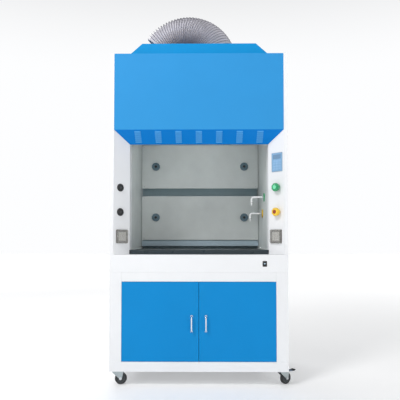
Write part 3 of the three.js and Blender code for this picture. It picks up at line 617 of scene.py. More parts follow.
def on_duct(distance, angle, radius):
    """A point round the duct at a distance along it: straight up first, then round the bend."""
    turn = max(0.0, distance - DUCT_RISE) / BEND_RADIUS
    outward = Z * math.sin(turn) - BEND_LEAN * math.cos(turn)
    tangent = Z * math.cos(turn) + BEND_LEAN * math.sin(turn)
    centre = BEND_MIDDLE + outward * BEND_RADIUS - Z * max(0.0, DUCT_RISE - distance)
    return centre + outward * (radius * math.cos(angle)) + tangent.cross(outward) * (radius * math.sin(angle))


def sag_of_rib(turn, angle):
    """Each rib leans and swells a little differently from its neighbours."""
    return 0.00055 * math.sin(2.3 * turn + 1.7 * math.sin(angle)) + 0.00035 * math.sin(5.1 * turn + 2 * angle)


def duct_surface_radius(distance, angle):
    """Sharp crests and round valleys along a helix, shallower inside the bend."""
    turn = distance / RIB_PITCH + angle / (2 * math.pi)
    valley = abs(math.sin(math.pi * turn)) ** 0.75
    inside_bend = 1 - 0.45 * max(0.0, -math.cos(angle))
    return RIB_CREST - RIB_DEPTH * inside_bend * valley + sag_of_rib(turn, angle)


def exhaust_duct():
    """The ribbed skin, and the spring wire that runs under its crests."""
    length = DUCT_RISE + BEND_RADIUS * BEND_SWEEP
    around_skin, per_rib, per_turn = 56, 8, 36
    rings = round(length / RIB_PITCH) * per_rib
    part = bmesh.new()
    rows = []
    for distance in [length * i / rings for i in range(rings + 1)]:
        rows.append([part.verts.new(on_duct(distance, a, duct_surface_radius(distance, a)))
                     for a in around(around_skin)])
    join_rows(part, rows)
    material = duct_skin("duct skin", (0.66, 0.65, 0.70))
    skin = piece("duct_skin", part, material, "root", ["exhaust_duct"], smooth=60)
    thicken(skin, 0.0007, -1)
    turns = [i / per_turn for i in range((int(length / RIB_PITCH) - 1) * per_turn)]
    path = [on_duct(RIB_PITCH * (1 + turn), -2 * math.pi * turn, RIB_CREST - 0.0001) for turn in turns]
    wire = swept(bmesh.new(), path, circle(0.0021, 6), up=Y)
    material = moulded("duct wire", (0.22, 0.21, 0.25), 0.35)
    piece("duct_wire", wire, material, "root", smooth=60)


def duct_trim():
    """Edge trim round the cowl's cut-out, and the hose clip on the fan's spigot."""
    cut_out = circle(0.1442, 72, (DUCT_FOOT.x - 0.003, DUCT_FOOT.y))
    ring = [Vector((x, y, COWL_TOP - 0.001)) for x, y in cut_out]
    trim = swept(bmesh.new(), ring, rounded_rectangle(0.0045, 0.0065, 0.0018, 3), closed=True)
    piece("cowl_edge_trim", trim, BLACK, "root")
    base = DUCT_FOOT + Z * 0.014
    band = DUCT_RADIUS + 0.0015
    clip = collar(bmesh.new(), band - 0.001, band, -0.006, 0.006, shift(*base), 72)
    block(clip, (-0.012, -band - 0.008, -0.007), (0.012, -band + 0.001, 0.007), 0.001, matrix=shift(*base))
    hex_bolt(clip, base + Vector((0.012, -band - 0.004, 0)), X, 0.007, 0.006)
    piece("hose_clip", clip, ZINC, "root")


# ---- casters --------------------------------------------------------------------------------------
WHEEL_RADIUS = 0.0375
HALF_WHEEL_MM = 12.5
EYE_RADIUS = 0.009
TRAIL = 0.030
FORK_GAP = 0.0145
LEG = 0.003
# The head is a profile about the swivel. The lever's outlines run forward of it and up from the floor.
FORK_HEAD = mm((0, 85.5), (26.2, 85.5), (26.8, 87.2), (24.5, 88.5), (24.5, 89.4), (0, 89.4))
LEVER = mm((35, 76.3), (50, 76.8), (72, 75.2), (86, 74.2), (89, 78.8), (72, 80.6), (50, 82.6), (38, 82.6),
           (35, 80.5))
LEVER_CAP = mm((82, 73.6), (96, 74.8), (105.5, 76.8), (108, 81.5), (104, 84.8), (95, 83.4), (83, 81.2))


def fork_leg_outline():
    """A pressed leg seen from the side, with a round eye at the axle."""
    eye = [math.pi + math.pi * i / 8 for i in range(9)]
    round_end = [(TRAIL + EYE_RADIUS * math.cos(a), WHEEL_RADIUS + EYE_RADIUS * math.sin(a)) for a in eye]
    return mm((-24, 85.5), (-21.5, 75)) + round_end + mm((47, 72), (47, 85), (26, 85.5))


def caster(corner):
    """The fork with its axle bolt, the wheel, the top plate and, where there is one, the brake pedal."""
    swivel, spindle = pivot(f"swivel_{corner}"), pivot(f"spin_{corner}")
    forward = Vector((spindle.x - swivel.x, spindle.y - swivel.y, 0)).normalized()
    heading = Matrix((forward, Z.cross(forward), Z)).transposed()
    place = shift(swivel.x, swivel.y, 0) @ heading.to_4x4()
    across = heading @ Y
    axle = place @ shift(TRAIL, 0, WHEEL_RADIUS) @ spin(math.pi / 2, "X")
    outside = FORK_GAP + LEG

    fork = bmesh.new()
    for start in (-outside, FORK_GAP):
        plate(fork, fork_leg_outline(), LEG, place @ shift(0, start, 0), 0.0007)
    block(fork, (-0.024, -outside, 0.0805), (0.026, outside, 0.0858), 0.0018, 3, place)
    turned(fork, FORK_HEAD, place)
    piece(f"caster_fork_body_{corner}", fork, SHADED_FORK_ZINC, f"fork_{corner}",
          [f"caster_fork_{corner}"])
    bolt = rod(bmesh.new(), 0.004, -outside, outside, axle)
    for side in (-1, 1):
        hex_bolt(bolt, place @ Vector((TRAIL, side * outside, WHEEL_RADIUS)), side * across, 0.012, 0.005)
    piece(f"axle_bolt_{corner}", bolt, ZINC, f"fork_{corner}")

    half = HALF_WHEEL_MM
    rim = mirrored(mm((28.5, 1 - half), (31, -half), (34.2, 0.6 - half), (36.8, 3 - half), (37.5, 7 - half)))
    tread = turned(bmesh.new(), rim + rim[:1], axle, 64)
    piece(f"tyre_{corner}", tread, TYRE, f"wheel_{corner}", [f"caster_wheel_{corner}"])
    core = mirrored(mm((4.6, -half), (10.5, -half), (12.5, 1.5 - half), (13.5, 4.5 - half),
                       (23.5, 4.5 - half), (25.5, 1.5 - half), (28.3, 1.2 - half)))
    hub = turned(bmesh.new(), core + core[:1], axle, 48)
    for turn in around(5):
        block(hub, (0.0115, -0.0018, -0.0105), (0.0265, 0.0018, 0.0105), 0.0006, 2, axle @ spin(turn))
    piece(f"hub_{corner}", hub, WHEEL_HUB, f"wheel_{corner}")

    underside = BASE_BOTTOM - 0.0024
    top = block(bmesh.new(), (-0.030, -0.030, underside), (0.030, 0.030, BASE_BOTTOM - 0.0001), 0.0008, 2,
                shift(swivel.x, swivel.y, 0))
    for dx in (-0.0225, 0.0225):
        for dy in (-0.0225, 0.0225):
            hex_bolt(top, (swivel.x + dx, swivel.y + dy, underside), -Z, 0.010, 0.003)
    piece(f"caster_plate_{corner}", top, ZINC, "root")
    if f"brake_{corner}" in JOINTS:
        brake_pedal(corner, place)


def brake_pedal(corner, place):
    """A ribbed lever on a cross pin, with a black gripped tip."""
    body = f"pedal_{corner}"
    pedal = plate(bmesh.new(), LEVER, 0.026, place @ shift(0, -0.013, 0), 0.0009, 3)
    for y in (-0.008, 0, 0.008):
        block(pedal, (0.050, y - 0.0012, 0.0795), (0.079, y + 0.0012, 0.0832), 0.0006, 2, place)
    piece(f"pedal_plate_{corner}", pedal, PEDAL_GREY, body, [f"brake_pedal_{corner}"])
    tip = plate(bmesh.new(), LEVER_CAP, 0.0276, place @ shift(0, -0.0138, 0), 0.0012, 3)
    for i in range(3):
        x, z = 0.0875 + 0.0055 * i, 0.0815 + 0.0006 * i
        block(tip, (x - 0.001, -0.0115, z), (x + 0.001, 0.0115, z + 0.0023), 0.0005, 2, place)
    piece(f"pedal_tip_{corner}", tip, BLACK, body)
    across = place @ shift(0.041, 0, 0.079) @ spin(math.pi / 2, "X")
    pin = rod(bmesh.new(), 0.0024, -0.0192, 0.0192, across, 16)
    piece(f"pedal_pin_{corner}", pin, ZINC, body)


# ---- cabinet details ------------------------------------------------------------------------------
DOOR_TOP = 0.652
# Sections: the door's channel across and back, and the rocker forward and up.
STIFFENER = mm((-22, 0), (-15, 0), (-12, 11), (12, 11), (15, 0), (22, 0), (22, 1), (15.8, 1), (12.8, 12),
               (-12.8, 12), (-15.8, 1), (-22, 1))
ROCKER = mm((4.4, -11.8), (2.6, -7), (1.2, -1.8), (0.8, 0), (0.6, 4.5), (0.7, 12.6), (-10, 9.8), (-13.5, 0),
            (-10, -9.8))
# Profiles: radius and height, the trap's from the sink's tail and the gland's from the rear panel.
TRAP = mm((16.5, 18), (24, 18), (24, -4), (19.5, -6), (19.5, -30), (31, -34), (34, -40), (34, -100),
          (30, -108), (0, -110), (0, -104), (27, -102), (30.5, -98), (30.5, -42), (16.5, -36), (16.5, 18))
GLAND = mm((6, -20), (13, -20), (13, -4), (16, -4), (16, 4), (12, 6), (11.5, 14), (9, 16.5), (6, 16.5),
           (6, -20))


def bow_handle(side):
    """A drawn bar with two easy bends, on a turned rose at each end."""
    lo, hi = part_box(f"handle_{side}")
    x = (lo.x + hi.x) / 2
    radius = (hi.x - lo.x) / 2 - 0.0002
    face, grip = FRONT - 0.0003, lo.y + radius - 0.0003
    top, bottom = hi.z - radius, lo.z + radius
    bend = 0.013
    path = [Vector((x, face, top)), Vector((x, grip + bend, top))]
    path += arc_points((x, grip + bend, top - bend), path[-1], X, math.pi / 2, 8)
    path += [Vector((x, grip, z)) for z in (top - 0.030, bottom + 0.030, bottom + bend)]
    path += arc_points((x, grip + bend, bottom + bend), path[-1], X, math.pi / 2, 8)
    path += [Vector((x, face, bottom))]
    bar = swept(bmesh.new(), path, circle(radius, 20), up=X)
    piece(f"handle_bar_{side}", bar, CHROME, f"door_{side}", [f"handle_{side}"], smooth=50)
    roses = bmesh.new()
    rose = [(radius, 0), *mm((7.8, 0), (7.8, 1.6), (6.6, 3)), (radius, 0.0034), (radius, 0)]
    for z in (top, bottom):
        turned(roses, rose, along_axis((x, FRONT, z), -Y), 32)
    piece(f"handle_roses_{side}", roses, CHROME, f"door_{side}")


def rocker_switch():
    """A framed rocker, with a pale light window across its middle."""
    x, _, z = pivot("rocker_tilt")
    outer = rounded_rectangle(0.0270, 0.0350, 0.0035, 5, (x, z))
    inner = rounded_rectangle(0.0190, 0.0290, 0.0015, 5, (x, z))
    bezel = plate(bmesh.new(), outer, 0.0022, shift(0, FRONT - 0.0022, 0), 0.0007, 3, [inner])
    for near in (x - 0.0103, x + 0.0098):
        block(bezel, (near, FRONT + 0.003, z - 0.0150), (near + 0.0005, FRONT + 0.024, z + 0.0150), 0)
    piece("switch_bezel", bezel, BLACK, "root")
    ends = [Vector((x - 0.0088, FRONT, z)), Vector((x + 0.0088, FRONT, z))]
    rocker = swept(bmesh.new(), ends, ROCKER)
    rounded_edges(rocker, 0.0006, 2, 30)
    piece("rocker_body", rocker, ROCKER_BLACK, "rocker", ["rocker"])
    outline = rounded_rectangle(0.0105, 0.0060, 0.0012, 4, (x, z + 0.0006))
    window = plate(bmesh.new(), outline, 0.0010, shift(0, FRONT - 0.0017, 0), 0.0002)
    piece("rocker_window", window, WINDOW_BLUE, "rocker")


def door_fittings(side):
    """Inside each door: a stiffening channel and a magnet keeper near the free edge."""
    lo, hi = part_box(f"door_{side}")
    centre, back = (lo.x + hi.x) / 2, hi.y - 0.0155
    ends = [Vector((centre, back, lo.z + 0.020)), Vector((centre, back, hi.z - 0.020))]
    channel = swept(bmesh.new(), ends, STIFFENER, up=Y)
    piece(f"door_stiffener_{side}", channel, DOOR_BLUE, f"door_{side}")
    x = (hi.x if side == "left" else lo.x) + SIDES[side] * 0.030
    face, top = hi.y - 0.0005, hi.z - 0.012
    keeper = block(bmesh.new(), (x - 0.018, face - 0.003, top - 0.018), (x + 0.018, face, top), 0.0006)
    for dx in (-0.012, 0.012):
        screw(keeper, (x + dx, face, top - 0.009), Y, 0.003)
    piece(f"magnet_keeper_{side}", keeper, ZINC, f"door_{side}")


def magnetic_catches():
    """A magnet in its case under the top rail, for each door."""
    catch = bmesh.new()
    y, z = FRONT, DOOR_TOP
    for x in (-0.031, 0.031):
        block(catch, (x - 0.022, y + 0.0208, z - 0.019), (x + 0.022, y + 0.036, z + 0.0030), 0.0012)
        block(catch, (x - 0.014, y + 0.0190, z - 0.015), (x + 0.014, y + 0.0209, z - 0.005), 0.0003)
        block(catch, (x - 0.022, y + 0.0040, z + 0.0022), (x + 0.022, y + 0.034, z + 0.0038), 0.0004)
    piece("magnetic_catches", catch, PALE_GREY, "root")


def sink_trap():
    """The bottle trap under the cup sink, and its waste pipe."""
    sink, tail = middle("cup_sink"), low("cup_sink").z
    trap = turned(bmesh.new(), TRAP, shift(sink.x, sink.y, tail), 36)
    start = Vector((sink.x, sink.y + 0.030, tail - 0.055))
    path = [start, start + Y * 0.14]
    path += arc_points(path[-1] - Z * 0.05, path[-1], X, -math.pi / 2, 8)
    path += [path[-1] - Z * 0.20]
    swept(trap, path, circle(0.0165, 20), up=X)
    piece("sink_trap", trap, PALE_GREY, "root", smooth=45)


def mains_gland():
    """The cable entry at the back, level with the apron."""
    place = along_axis((HALF_WIDTH * 0.72, BACK - 0.0165, APRON_Z), Y)
    piece("mains_gland", turned(bmesh.new(), GLAND, place, 24), BLACK, "root")


# ---- services on the bevelled posts ---------------------------------------------------------------
OUTWARDS = spin(math.pi / 2, "X")
STRIP = 0.023
BEVEL = HALF_WIDTH - STRIP - HALF_OPENING
VALVE_OFFSET = 0.013
DISPLAY_OFFSET = 0.009
KNOB_TOP = 0.0376
# Profiles: radius and height, out of the bevel, out of the liner or up from the nozzle's tip.
GRIP = mm((0, 3.6, 0), (19.5, 3.6, 0), (21.2, 4.4, 0.1), (22.6, 8.5, 0.5), (24.6, 15, 0.9), (26.6, 23, 1),
          (26.9, 26.2, 1), (26.4, 30, 1), (25, 33.8, 0.9), (22.8, 36.2, 0.6), (19.6, 37.3, 0.25),
          (16, 37.6, 0), (13.6, 37.6, 0), (13, 36.8, 0), (0, 36.8, 0))
KNOB_CAP = mm((0, 36.9), (12.6, 36.9), (12.6, 37.4), (11.6, 37.6), (4, 37.6), (0, 37.6))
VALVE_COLLAR = mm((5.5, 0.1), (16.5, 0.1), (16.5, 1.2), (15.2, 2.6), (6.2, 3), (5.5, 3), (5.5, 0.1))
SPINDLE = mm((0, -30), (4.6, -30), (5, -29), (5, 4), (0, 4))
VALVE = mm((5.5, -6), (13, -6), (13, -12), (10.5, -14), (10.5, -30), (16, -33), (16, -48), (12, -52),
           (0, -52), (0, -34), (5.5, -32), (5.5, -6))
SPOUT_ROSE = mm((0, 0.1), (30, 0.1), (30, 3.2), (28.6, 5), (15.5, 6.8), (12.5, 7.8), (0, 8))
SPOUT_NUT = mm((6.6, 7.5), (11.8, 7.5), (11.8, 15.5), (10.4, 16.8), (6.6, 16.8), (6.6, 7.5))
NOZZLE_NUT = mm((5, 24), (7.8, 24), (7.8, 20.5), (6.6, 20), (5, 19.5), (5, 24))
PLUG = mm((0, 0.2), (24.5, 0.2), (25, 1.2), (24.6, 5), (22.8, 7.2), (15, 8.8), (9.8, 9), (9, 7.8), (0, 7.8))
PLUG_CAP = mm((0, 7.7), (7, 7.7), (7, 8.4), (6, 9), (0, 9.3))
SOCKET_SIZE, SOCKET_WINDOW = 0.086, 0.0560
# Each contact slot of a socket: length, degrees from level, and place across and up.
CONTACTS = ((0.0105, 90, -0.0095, 0.0155), (0.0105, 90, 0.0095, 0.0155), (0.0105, 90, 0, 0.0030),
            (0.0100, 60, -0.0100, -0.0135), (0.0100, 120, 0.0100, -0.0135))


def on_bevel(side, z, towards_front=0):
    """A frame on a post's bevel whose local -Y looks out of it."""
    sign = SIDES[side]
    centre = shift(sign * (HALF_OPENING + BEVEL / 2), FRONT + BEVEL / 2, z)
    return centre @ spin(-sign * math.pi / 4) @ shift(sign * towards_front, 0, 0)


def service_place(service, side="right"):
    """The frame on the bevel at the height of a service's valve."""
    return on_bevel(side, pivot(f"{service}_knob_turn").z, VALVE_OFFSET)


def valve_knob(service, colour, cap_colour):
    """A fluted grip with a coloured cap and a white mark, on a spindle through a bright collar."""
    name = f"{service}_knob"
    post = service_place(service)
    out = post @ OUTWARDS
    grip = turned(bmesh.new(), GRIP, out, 112, 8, 0.17)
    piece(f"{name}_grip", grip, colour, name, [name], smooth=40)
    piece(f"{name}_cap", turned(bmesh.new(), KNOB_CAP, out, 48), cap_colour, name)
    face = -KNOB_TOP - 0.0001
    mark = block(bmesh.new(), (-0.0009, face, 0.0142), (0.0009, face + 0.0007, 0.0188), 0.0002, 2, post)
    piece(f"{name}_mark", mark, MARK_WHITE, name)
    piece(f"{service}_valve_collar", turned(bmesh.new(), VALVE_COLLAR, out), CHROME, "root")
    piece(f"{service}_spindle", turned(bmesh.new(), SPINDLE, out, 20), CHROME, name)


def service_pipe(service):
    """The valve behind the post, and the pipe from it round to the spout's back nut."""
    out = service_place(service) @ OUTWARDS
    valve = turned(bmesh.new(), VALVE, out, 6)
    start = out @ Vector((0, 0, -0.040))
    wall = high("liner_right").x
    y, z = middle(f"{service}_spout").y, high(f"{service}_spout").z - 0.030
    collar(valve, 0.007, 0.0145, 0, 0.009, along_axis((wall, y, z), X), 6)
    piece(f"{service}_valve", valve, BRASS, "root")
    run = 0.541
    corners = [start, Vector((run, start.y + 0.03, start.z)), Vector((run, y - 0.04, start.z)),
               Vector((run, y - 0.015, z)), Vector((run - 0.02, y, z)), Vector((wall + 0.002, y, z))]
    path = [first.lerp(second, t / 4) for first, second in zip(corners, corners[1:]) for t in range(4)]
    path = path[:1] + [(a + b * 2 + c) / 4 for a, b, c in zip(path, path[1:], path[2:])] + corners[-1:]
    pipe = swept(bmesh.new(), path, circle(0.006, 14))
    piece(f"{service}_pipe", pipe, EPOXY, "root", smooth=60)


def wall_spout(service, flange_material):
    """A bent tube from a coloured flange, with a serrated hose nozzle."""
    name = f"{service}_spout"
    lo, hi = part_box(name)
    radius, flange, bend = 0.0065, 0.030, 0.016
    y, z = (lo.y + hi.y) / 2, hi.z - flange
    wall, end, tip = hi.x, lo.x + radius, lo.z
    path = [Vector((wall - 0.004, y, z)), Vector((end + bend, y, z))]
    path += arc_points((end + bend, y, z - bend), path[-1], Y, -math.pi / 2, 9)
    path += [Vector((end, y, tip + 0.023))]
    tube = swept(bmesh.new(), path, circle(radius, 24), up=Y)
    piece(f"{name}_tube", tube, EPOXY, "root", [name], smooth=50)
    out = along_axis((wall, y, z), -X)
    rose = turned(bmesh.new(), SPOUT_ROSE, out, 56)
    piece(f"{name}_rose", rose, flange_material, "root")
    nuts = turned(bmesh.new(), SPOUT_NUT, out, 6)
    turned(nuts, NOZZLE_NUT, shift(end, y, tip), 24)
    piece(f"{name}_nuts", nuts, CHROME, "root")
    barbs = []
    for i in range(4):
        foot = 0.6 + 5 * i
        barbs += [(3.8 + 0.5 * i, foot), (5.2 + 0.4 * i, foot + 4), (4 + 0.5 * i, foot + 4.6)]
    profile = mm((2.2, 0), (3.4, 0), *barbs, (5.8, 22), (2.2, 22), (2.2, 0))
    piece(f"{name}_nozzle", turned(bmesh.new(), profile, shift(end, y, tip), 28), EPOXY, "root")


def blanking_plug(service):
    """A low domed plug over the valve hole that the left post doesn't use."""
    out = service_place(service, "left") @ OUTWARDS
    plug = turned(bmesh.new(), PLUG, out, 56)
    rod(plug, 0.0064, -0.016, 0.0005, out, 24)
    piece(f"blanking_plug_{service}", plug, BLACK, "root")
    # The cap's slightly lighter grey is a painted highlight.
    piece(f"blanking_cap_{service}", turned(bmesh.new(), PLUG_CAP, out, 36), CAP_GREY_HIGHLIGHT, "root")


def contact_slot(length, angle, x, z, width=0.0024):
    """A contact slot's rounded outline, turned by an angle in degrees."""
    turn = Matrix.Rotation(math.radians(angle - 90), 2)
    corners = rounded_rectangle(width, length, width * 0.3, 2)
    return [tuple(turn @ Vector(c) + Vector((x, z))) for c in corners]


def wall_socket(side):
    """A square outlet with a five-pin face, in its flush box."""
    out = on_bevel(side, middle(f"socket_{side}").z)
    outline = rounded_rectangle(SOCKET_SIZE, SOCKET_SIZE, 0.004)
    window = rounded_rectangle(SOCKET_WINDOW, SOCKET_WINDOW, 0.0015, 4)
    rim = plate(bmesh.new(), outline, 0.0082, out @ shift(0, -0.0086, 0), 0.0012, 3, [window])
    block(rim, (-0.034, 0.0002, -0.034), (0.034, 0.032, 0.034), 0.002, 2, out)
    piece(f"socket_plate_{side}", rim, SOCKET_PLATE, "root", [f"socket_{side}"])
    outline = rounded_rectangle(SOCKET_WINDOW - 0.0006, SOCKET_WINDOW - 0.0006, 0.0015, 4)
    slots = [contact_slot(*contact) for contact in CONTACTS]
    face = plate(bmesh.new(), outline, 0.0060, out @ shift(0, -0.0078, 0), 0.0003, 2, slots)
    piece(f"socket_face_{side}", face, SOCKET_FACE, "root")
    well = block(bmesh.new(), (-0.0265, -0.0022, -0.0265), (0.0265, 0.0001, 0.0265), 0.0005, 1, out)
    piece(f"socket_well_{side}", well, BLACK, "root")
    fixings = bmesh.new()
    for x in (-0.0345, 0.0345):
        screw(fixings, out @ Vector((x, -0.0086, 0)), out.to_3x3() @ -Y, 0.0030)
    piece(f"socket_screws_{side}", fixings, CHROME, "root")


def socket_lid(side):
    """A clear hinged splash cover with soft corners, a finger tab and a stiffening lip."""
    name = f"socket_lid_{side}"
    out = on_bevel(side, middle(f"socket_{side}").z)
    back, width, height, wall = -0.0094, 0.0816, 0.0836, 0.0018
    # Each row: how far forward it lies and how far it is drawn in, from the open back to the front.
    rows = mm((-9.4, 0), (-16.9, 0), (-19.3, 0.8), (-20.5, 2.4), (-20.9, 4.6))
    lid = bmesh.new()

    def ring(inset, y, corner):
        outline = rounded_rectangle(width - 2 * inset, height - 2 * inset, corner)
        return [lid.verts.new((u, y, v)) for u, v in outline]

    outer = [ring(inset, y, 0.006) for y, inset in rows]
    inner = [ring(inset + wall, y + (wall if i else 0), 0.0045) for i, (y, inset) in enumerate(rows)]
    lid.faces.new(outer[-1])
    lid.faces.new(inner[-1])
    join_rows(lid, outer[::-1] + inner)
    lid.transform(out)
    block(lid, (0.0145, -0.0178, -0.0468), (0.0295, -0.0122, -0.0416), 0.0016, 3, out)
    piece(f"{name}_cover", lid, LID_CLEAR, name, [name], smooth=40)
    outline = rounded_rectangle(width - 0.0006, height - 0.0006, 0.006)
    inside = rounded_rectangle(width - 0.0046, height - 0.0046, 0.0045)
    rim = plate(bmesh.new(), outline, 0.0022, out @ shift(0, back - 0.0022, 0), 0.0004, 2, [inside])
    piece(f"{name}_rim", rim, LID_SMOKE, name)
    pins = bmesh.new()
    across = out.to_3x3() @ X
    for reach in (-0.031, 0.031):
        place = along_axis(pivot(f"{name}_hinge") + across * reach - Z * 0.0032, across)
        rod(pins, 0.0024, -0.006, 0.006, place, 16)
    piece(f"{name}_pins", pins, LID_SMOKE, name)


def display():
    """A flat membrane panel: frame, screen window above and rows of flush keys."""
    out = on_bevel("right", middle("display_panel").z, DISPLAY_OFFSET)
    # Each layer: its material, its size and corner, its height, how far it stands out and how thick it is.
    layers = {"frame": (PANEL_FRAME, (0.0838, 0.1218, 0.004), 0, 0.0033, 0.0034),
              "membrane": (MEMBRANE, (0.0770, 0.1140, 0.003), 0, 0.0037, 0.0005),
              "screen": (SCREEN, (0.0620, 0.0280, 0.002), 0.0345, 0.0039, 0.0004)}
    for name, (material, size, height, front, depth) in layers.items():
        outline = rounded_rectangle(*size, 5, (0, height))
        layer = plate(bmesh.new(), outline, depth, out @ shift(0, -front, 0), 0.0001, 1)
        replaced = ["display_panel"] if name == "frame" else []
        piece(f"display_{name}", layer, material, "root", replaced)
    keys = bmesh.new()
    for row in range(4):
        for column in (-1, 0, 1):
            outline = rounded_rectangle(0.0176, 0.0112, 0.002, 4, (column * 0.0224, -0.0425 + row * 0.0166))
            plate(keys, outline, 0.0004, out @ shift(0, -0.0040, 0), 0.0002, 2)
    piece("display_keys", keys, KEY_BLUE, "root")


# ---- work chamber ---------------------------------------------------------------------------------
BAFFLE_KNOB_X = 0.338
BAFFLE_KNOB_HEIGHTS = (1.474, 1.084)
BAFFLE_KNOB = mm((0, 0.1, 0), (29.76, 0.1, 0), (31, 1.4, 0.4), (31, 8, 1), (28.83, 10.5, 0.8),
                 (22.32, 11.2, 0), (20.46, 9.2, 0), (11.78, 9.2, 0), (10.54, 11.8, 0), (0, 11.8, 0))
KNOB_CORE = mm((0, 11.7), (9.2, 11.7), (9.2, 15), (8, 16.2), (5, 16.4), (4.6, 14), (0, 13.8))
ANGLE_STRIP = mm((0, 0), (12, 0), (12, 1.6), (1.6, 1.6), (1.6, 12), (0, 12))
LAMP_TRAY = mm((-32, 0), (-32, -6), (-26, -18), (26, -18), (32, -6), (32, 0))
LAMP_Y, LAMP_HALF = -0.158, 0.32


def baffle_knobs():
    """Round fixing knobs that hold the baffles, on stand-off posts from the rear panel."""
    face, behind = low("baffle_upper").y, high("baffle_upper").y
    knobs, cores, posts = bmesh.new(), bmesh.new(), bmesh.new()
    for x in (-BAFFLE_KNOB_X, BAFFLE_KNOB_X):
        for z in BAFFLE_KNOB_HEIGHTS:
            out = along_axis((x, face, z), -Y)
            turned(knobs, BAFFLE_KNOB, out, 96, 12, 0.06)
            turned(cores, KNOB_CORE, out, 32)
            rod(posts, 0.0075, face - BACK + 0.002, face - behind, out)
    piece("baffle_knobs", knobs, KNOB_TEAL, "root")
    piece("baffle_knob_cores", cores, BLACK, "root")
    piece("baffle_posts", posts, ZINC, "root")


def chamber_trim():
    """Corner angles that hold the liners to the worktop, and the screws of the liners and baffles."""
    wall = low("liner_right").x
    front, back = low("liner_right").y + 0.001, low("baffle_upper").y - 0.002
    strips, fixings = bmesh.new(), bmesh.new()
    for sign in (-1, 1):
        start = Vector((sign * wall, front, WORKTOP_TOP + 0.0002))
        swept(strips, [start, start + Y * (back - front)], [(-sign * u, v) for u, v in ANGLE_STRIP])
        for i in range(5):
            y = front + 0.05 + (back - front - 0.1) * i / 4
            screw(fixings, (sign * (wall - 0.0016), y, start.z + 0.0072), -sign * X, 0.0028)
        for node in ("baffle_upper", "baffle_lower"):
            for z in (low(node).z + 0.014, high(node).z - 0.014):
                screw(fixings, (sign * 0.428, low(node).y, z), -Y, 0.0032)
    piece("liner_angles", strips, LINER, "root")
    piece("liner_screws", fixings, CHROME, "root")


def plenum_board():
    """The bluish lining board of the plenum, seen through the gaps between the baffles; its darker tone is
    painted shade.
    """
    half, top = high("liner_right").x - 0.006, low("chamber_ceiling").z - 0.001
    y = high("liner_right").y
    board = block(bmesh.new(), (-half, y - 0.0015, WORKTOP_TOP + 0.001), (half, y, top), 0)
    piece("plenum_board", board, LINER_BEHIND_SHADED, "root")


def chamber_lamp():
    """A tube lamp in a sealed tray on the chamber's ceiling."""
    ceiling, y, half = low("chamber_ceiling").z, LAMP_Y, LAMP_HALF
    ends = [Vector((-half, y, ceiling - 0.0002)), Vector((half, y, ceiling - 0.0002))]
    tray = swept(bmesh.new(), ends, LAMP_TRAY)
    rounded_edges(tray, 0.001)
    piece("lamp_tray", tray, WHITE, "root")
    length = 2 * half - 0.060
    profile = [(0, 0), (0.009, 0), (0.013, 0.004), (0.013, length - 0.004), (0.009, length), (0, length)]
    tube = turned(bmesh.new(), profile, along_axis((0.030 - half, y, ceiling - 0.030), X), 32)
    piece("lamp_tube", tube, LAMP_GLASS, "root")
    caps = bmesh.new()
    top, bottom = ceiling - 0.016, ceiling - 0.046
    for x in (0.024 - half, half - 0.024):
        block(caps, (x - 0.012, y - 0.017, bottom), (x + 0.012, y + 0.017, top), 0.004, 3)
    piece("lamp_ends", caps, GREY, "root")


def inlet_guard():
    """Concentric wires over the fan's inlet in the ceiling."""
    casing = middle("fan_casing")
    hub = Vector((casing.x, casing.y, low("chamber_ceiling").z - 0.0022))
    guard = bmesh.new()
    for i in range(5):
        ring = [Vector((x, y, hub.z)) for x, y in circle(0.026 + 0.0242 * i, 56, hub)]
        swept(guard, ring, circle(0.0013, 8), closed=True)
    centre = hub + Z * 0.0021
    for i in range(4):
        angle = math.pi * i / 4 + 0.4
        arm = Vector((math.cos(angle), math.sin(angle), 0)) * 0.129
        swept(guard, [centre - arm, centre + arm], circle(0.0015, 8))
    piece("inlet_guard", guard, CHROME, "root")


MOTOR = mm((0, 0, 0), (24, 0, 0), (30, 3, 0), (33.8, 8, 0.2), (34, 10, 1), (34, 47, 1), (33.8, 49, 0.2),
           (30, 54, 0), (10, 55, 0), (10, 57.5, 0), (0, 57.5, 0))
MOTOR_LOW = 1.795
IMPELLER_HUB = mm((0, 0), (39, 0), (40, 1), (40, 72), (37.5, 80), (30, 90), (18, 95.5), (0, 97))
BLADE_CHORD, BLADE_CAMBER, BLADE_THICKNESS = 0.050, 0.004, 0.0028
ROOT_PITCH, TIP_PITCH = 50, 32


def casing_tube():
    """The flanged, beaded tube of the fan, with three arms to its motor."""
    lo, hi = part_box("fan_casing")
    foot = (hi.x - lo.x) / 2
    outer = foot - 0.028
    inner = outer - 0.003
    height = hi.z - lo.z
    axis = shift((lo.x + hi.x) / 2, (lo.y + hi.y) / 2, lo.z)
    flange = [(foot, 0), (foot, 0.0035), (foot - 0.001, 0.004), (outer + 0.002, 0.004), (outer, 0.007)]
    bead = [(outer, 0.20), (outer + 0.0022, 0.203), (outer + 0.0022, 0.209), (outer, 0.212)]
    round_off = 0.0006
    lip = [(outer, height - round_off), (outer - round_off, height), (inner + round_off, height),
           (inner, height - round_off)]
    tube = turned(bmesh.new(), [(inner, 0), *flange, *bead, *lip, (inner, 0)], axis, 72)
    arm = MOTOR_LOW - lo.z + 0.005
    for turn in around(3):
        block(tube, (0.030, -0.003, arm), (inner + 0.0005, 0.003, arm + 0.025), 0.0012, 2,
              axis @ spin(turn + 0.4))
    piece("casing_tube", tube, CASING_GREY, "root", ["fan_casing"])
    bolts = bmesh.new()
    for u, v in circle(foot - 0.013, 8):
        hex_bolt(bolts, axis @ Vector((u, v, 0.004)), Z, 0.009, 0.005)
    piece("casing_bolts", bolts, ZINC, "root")


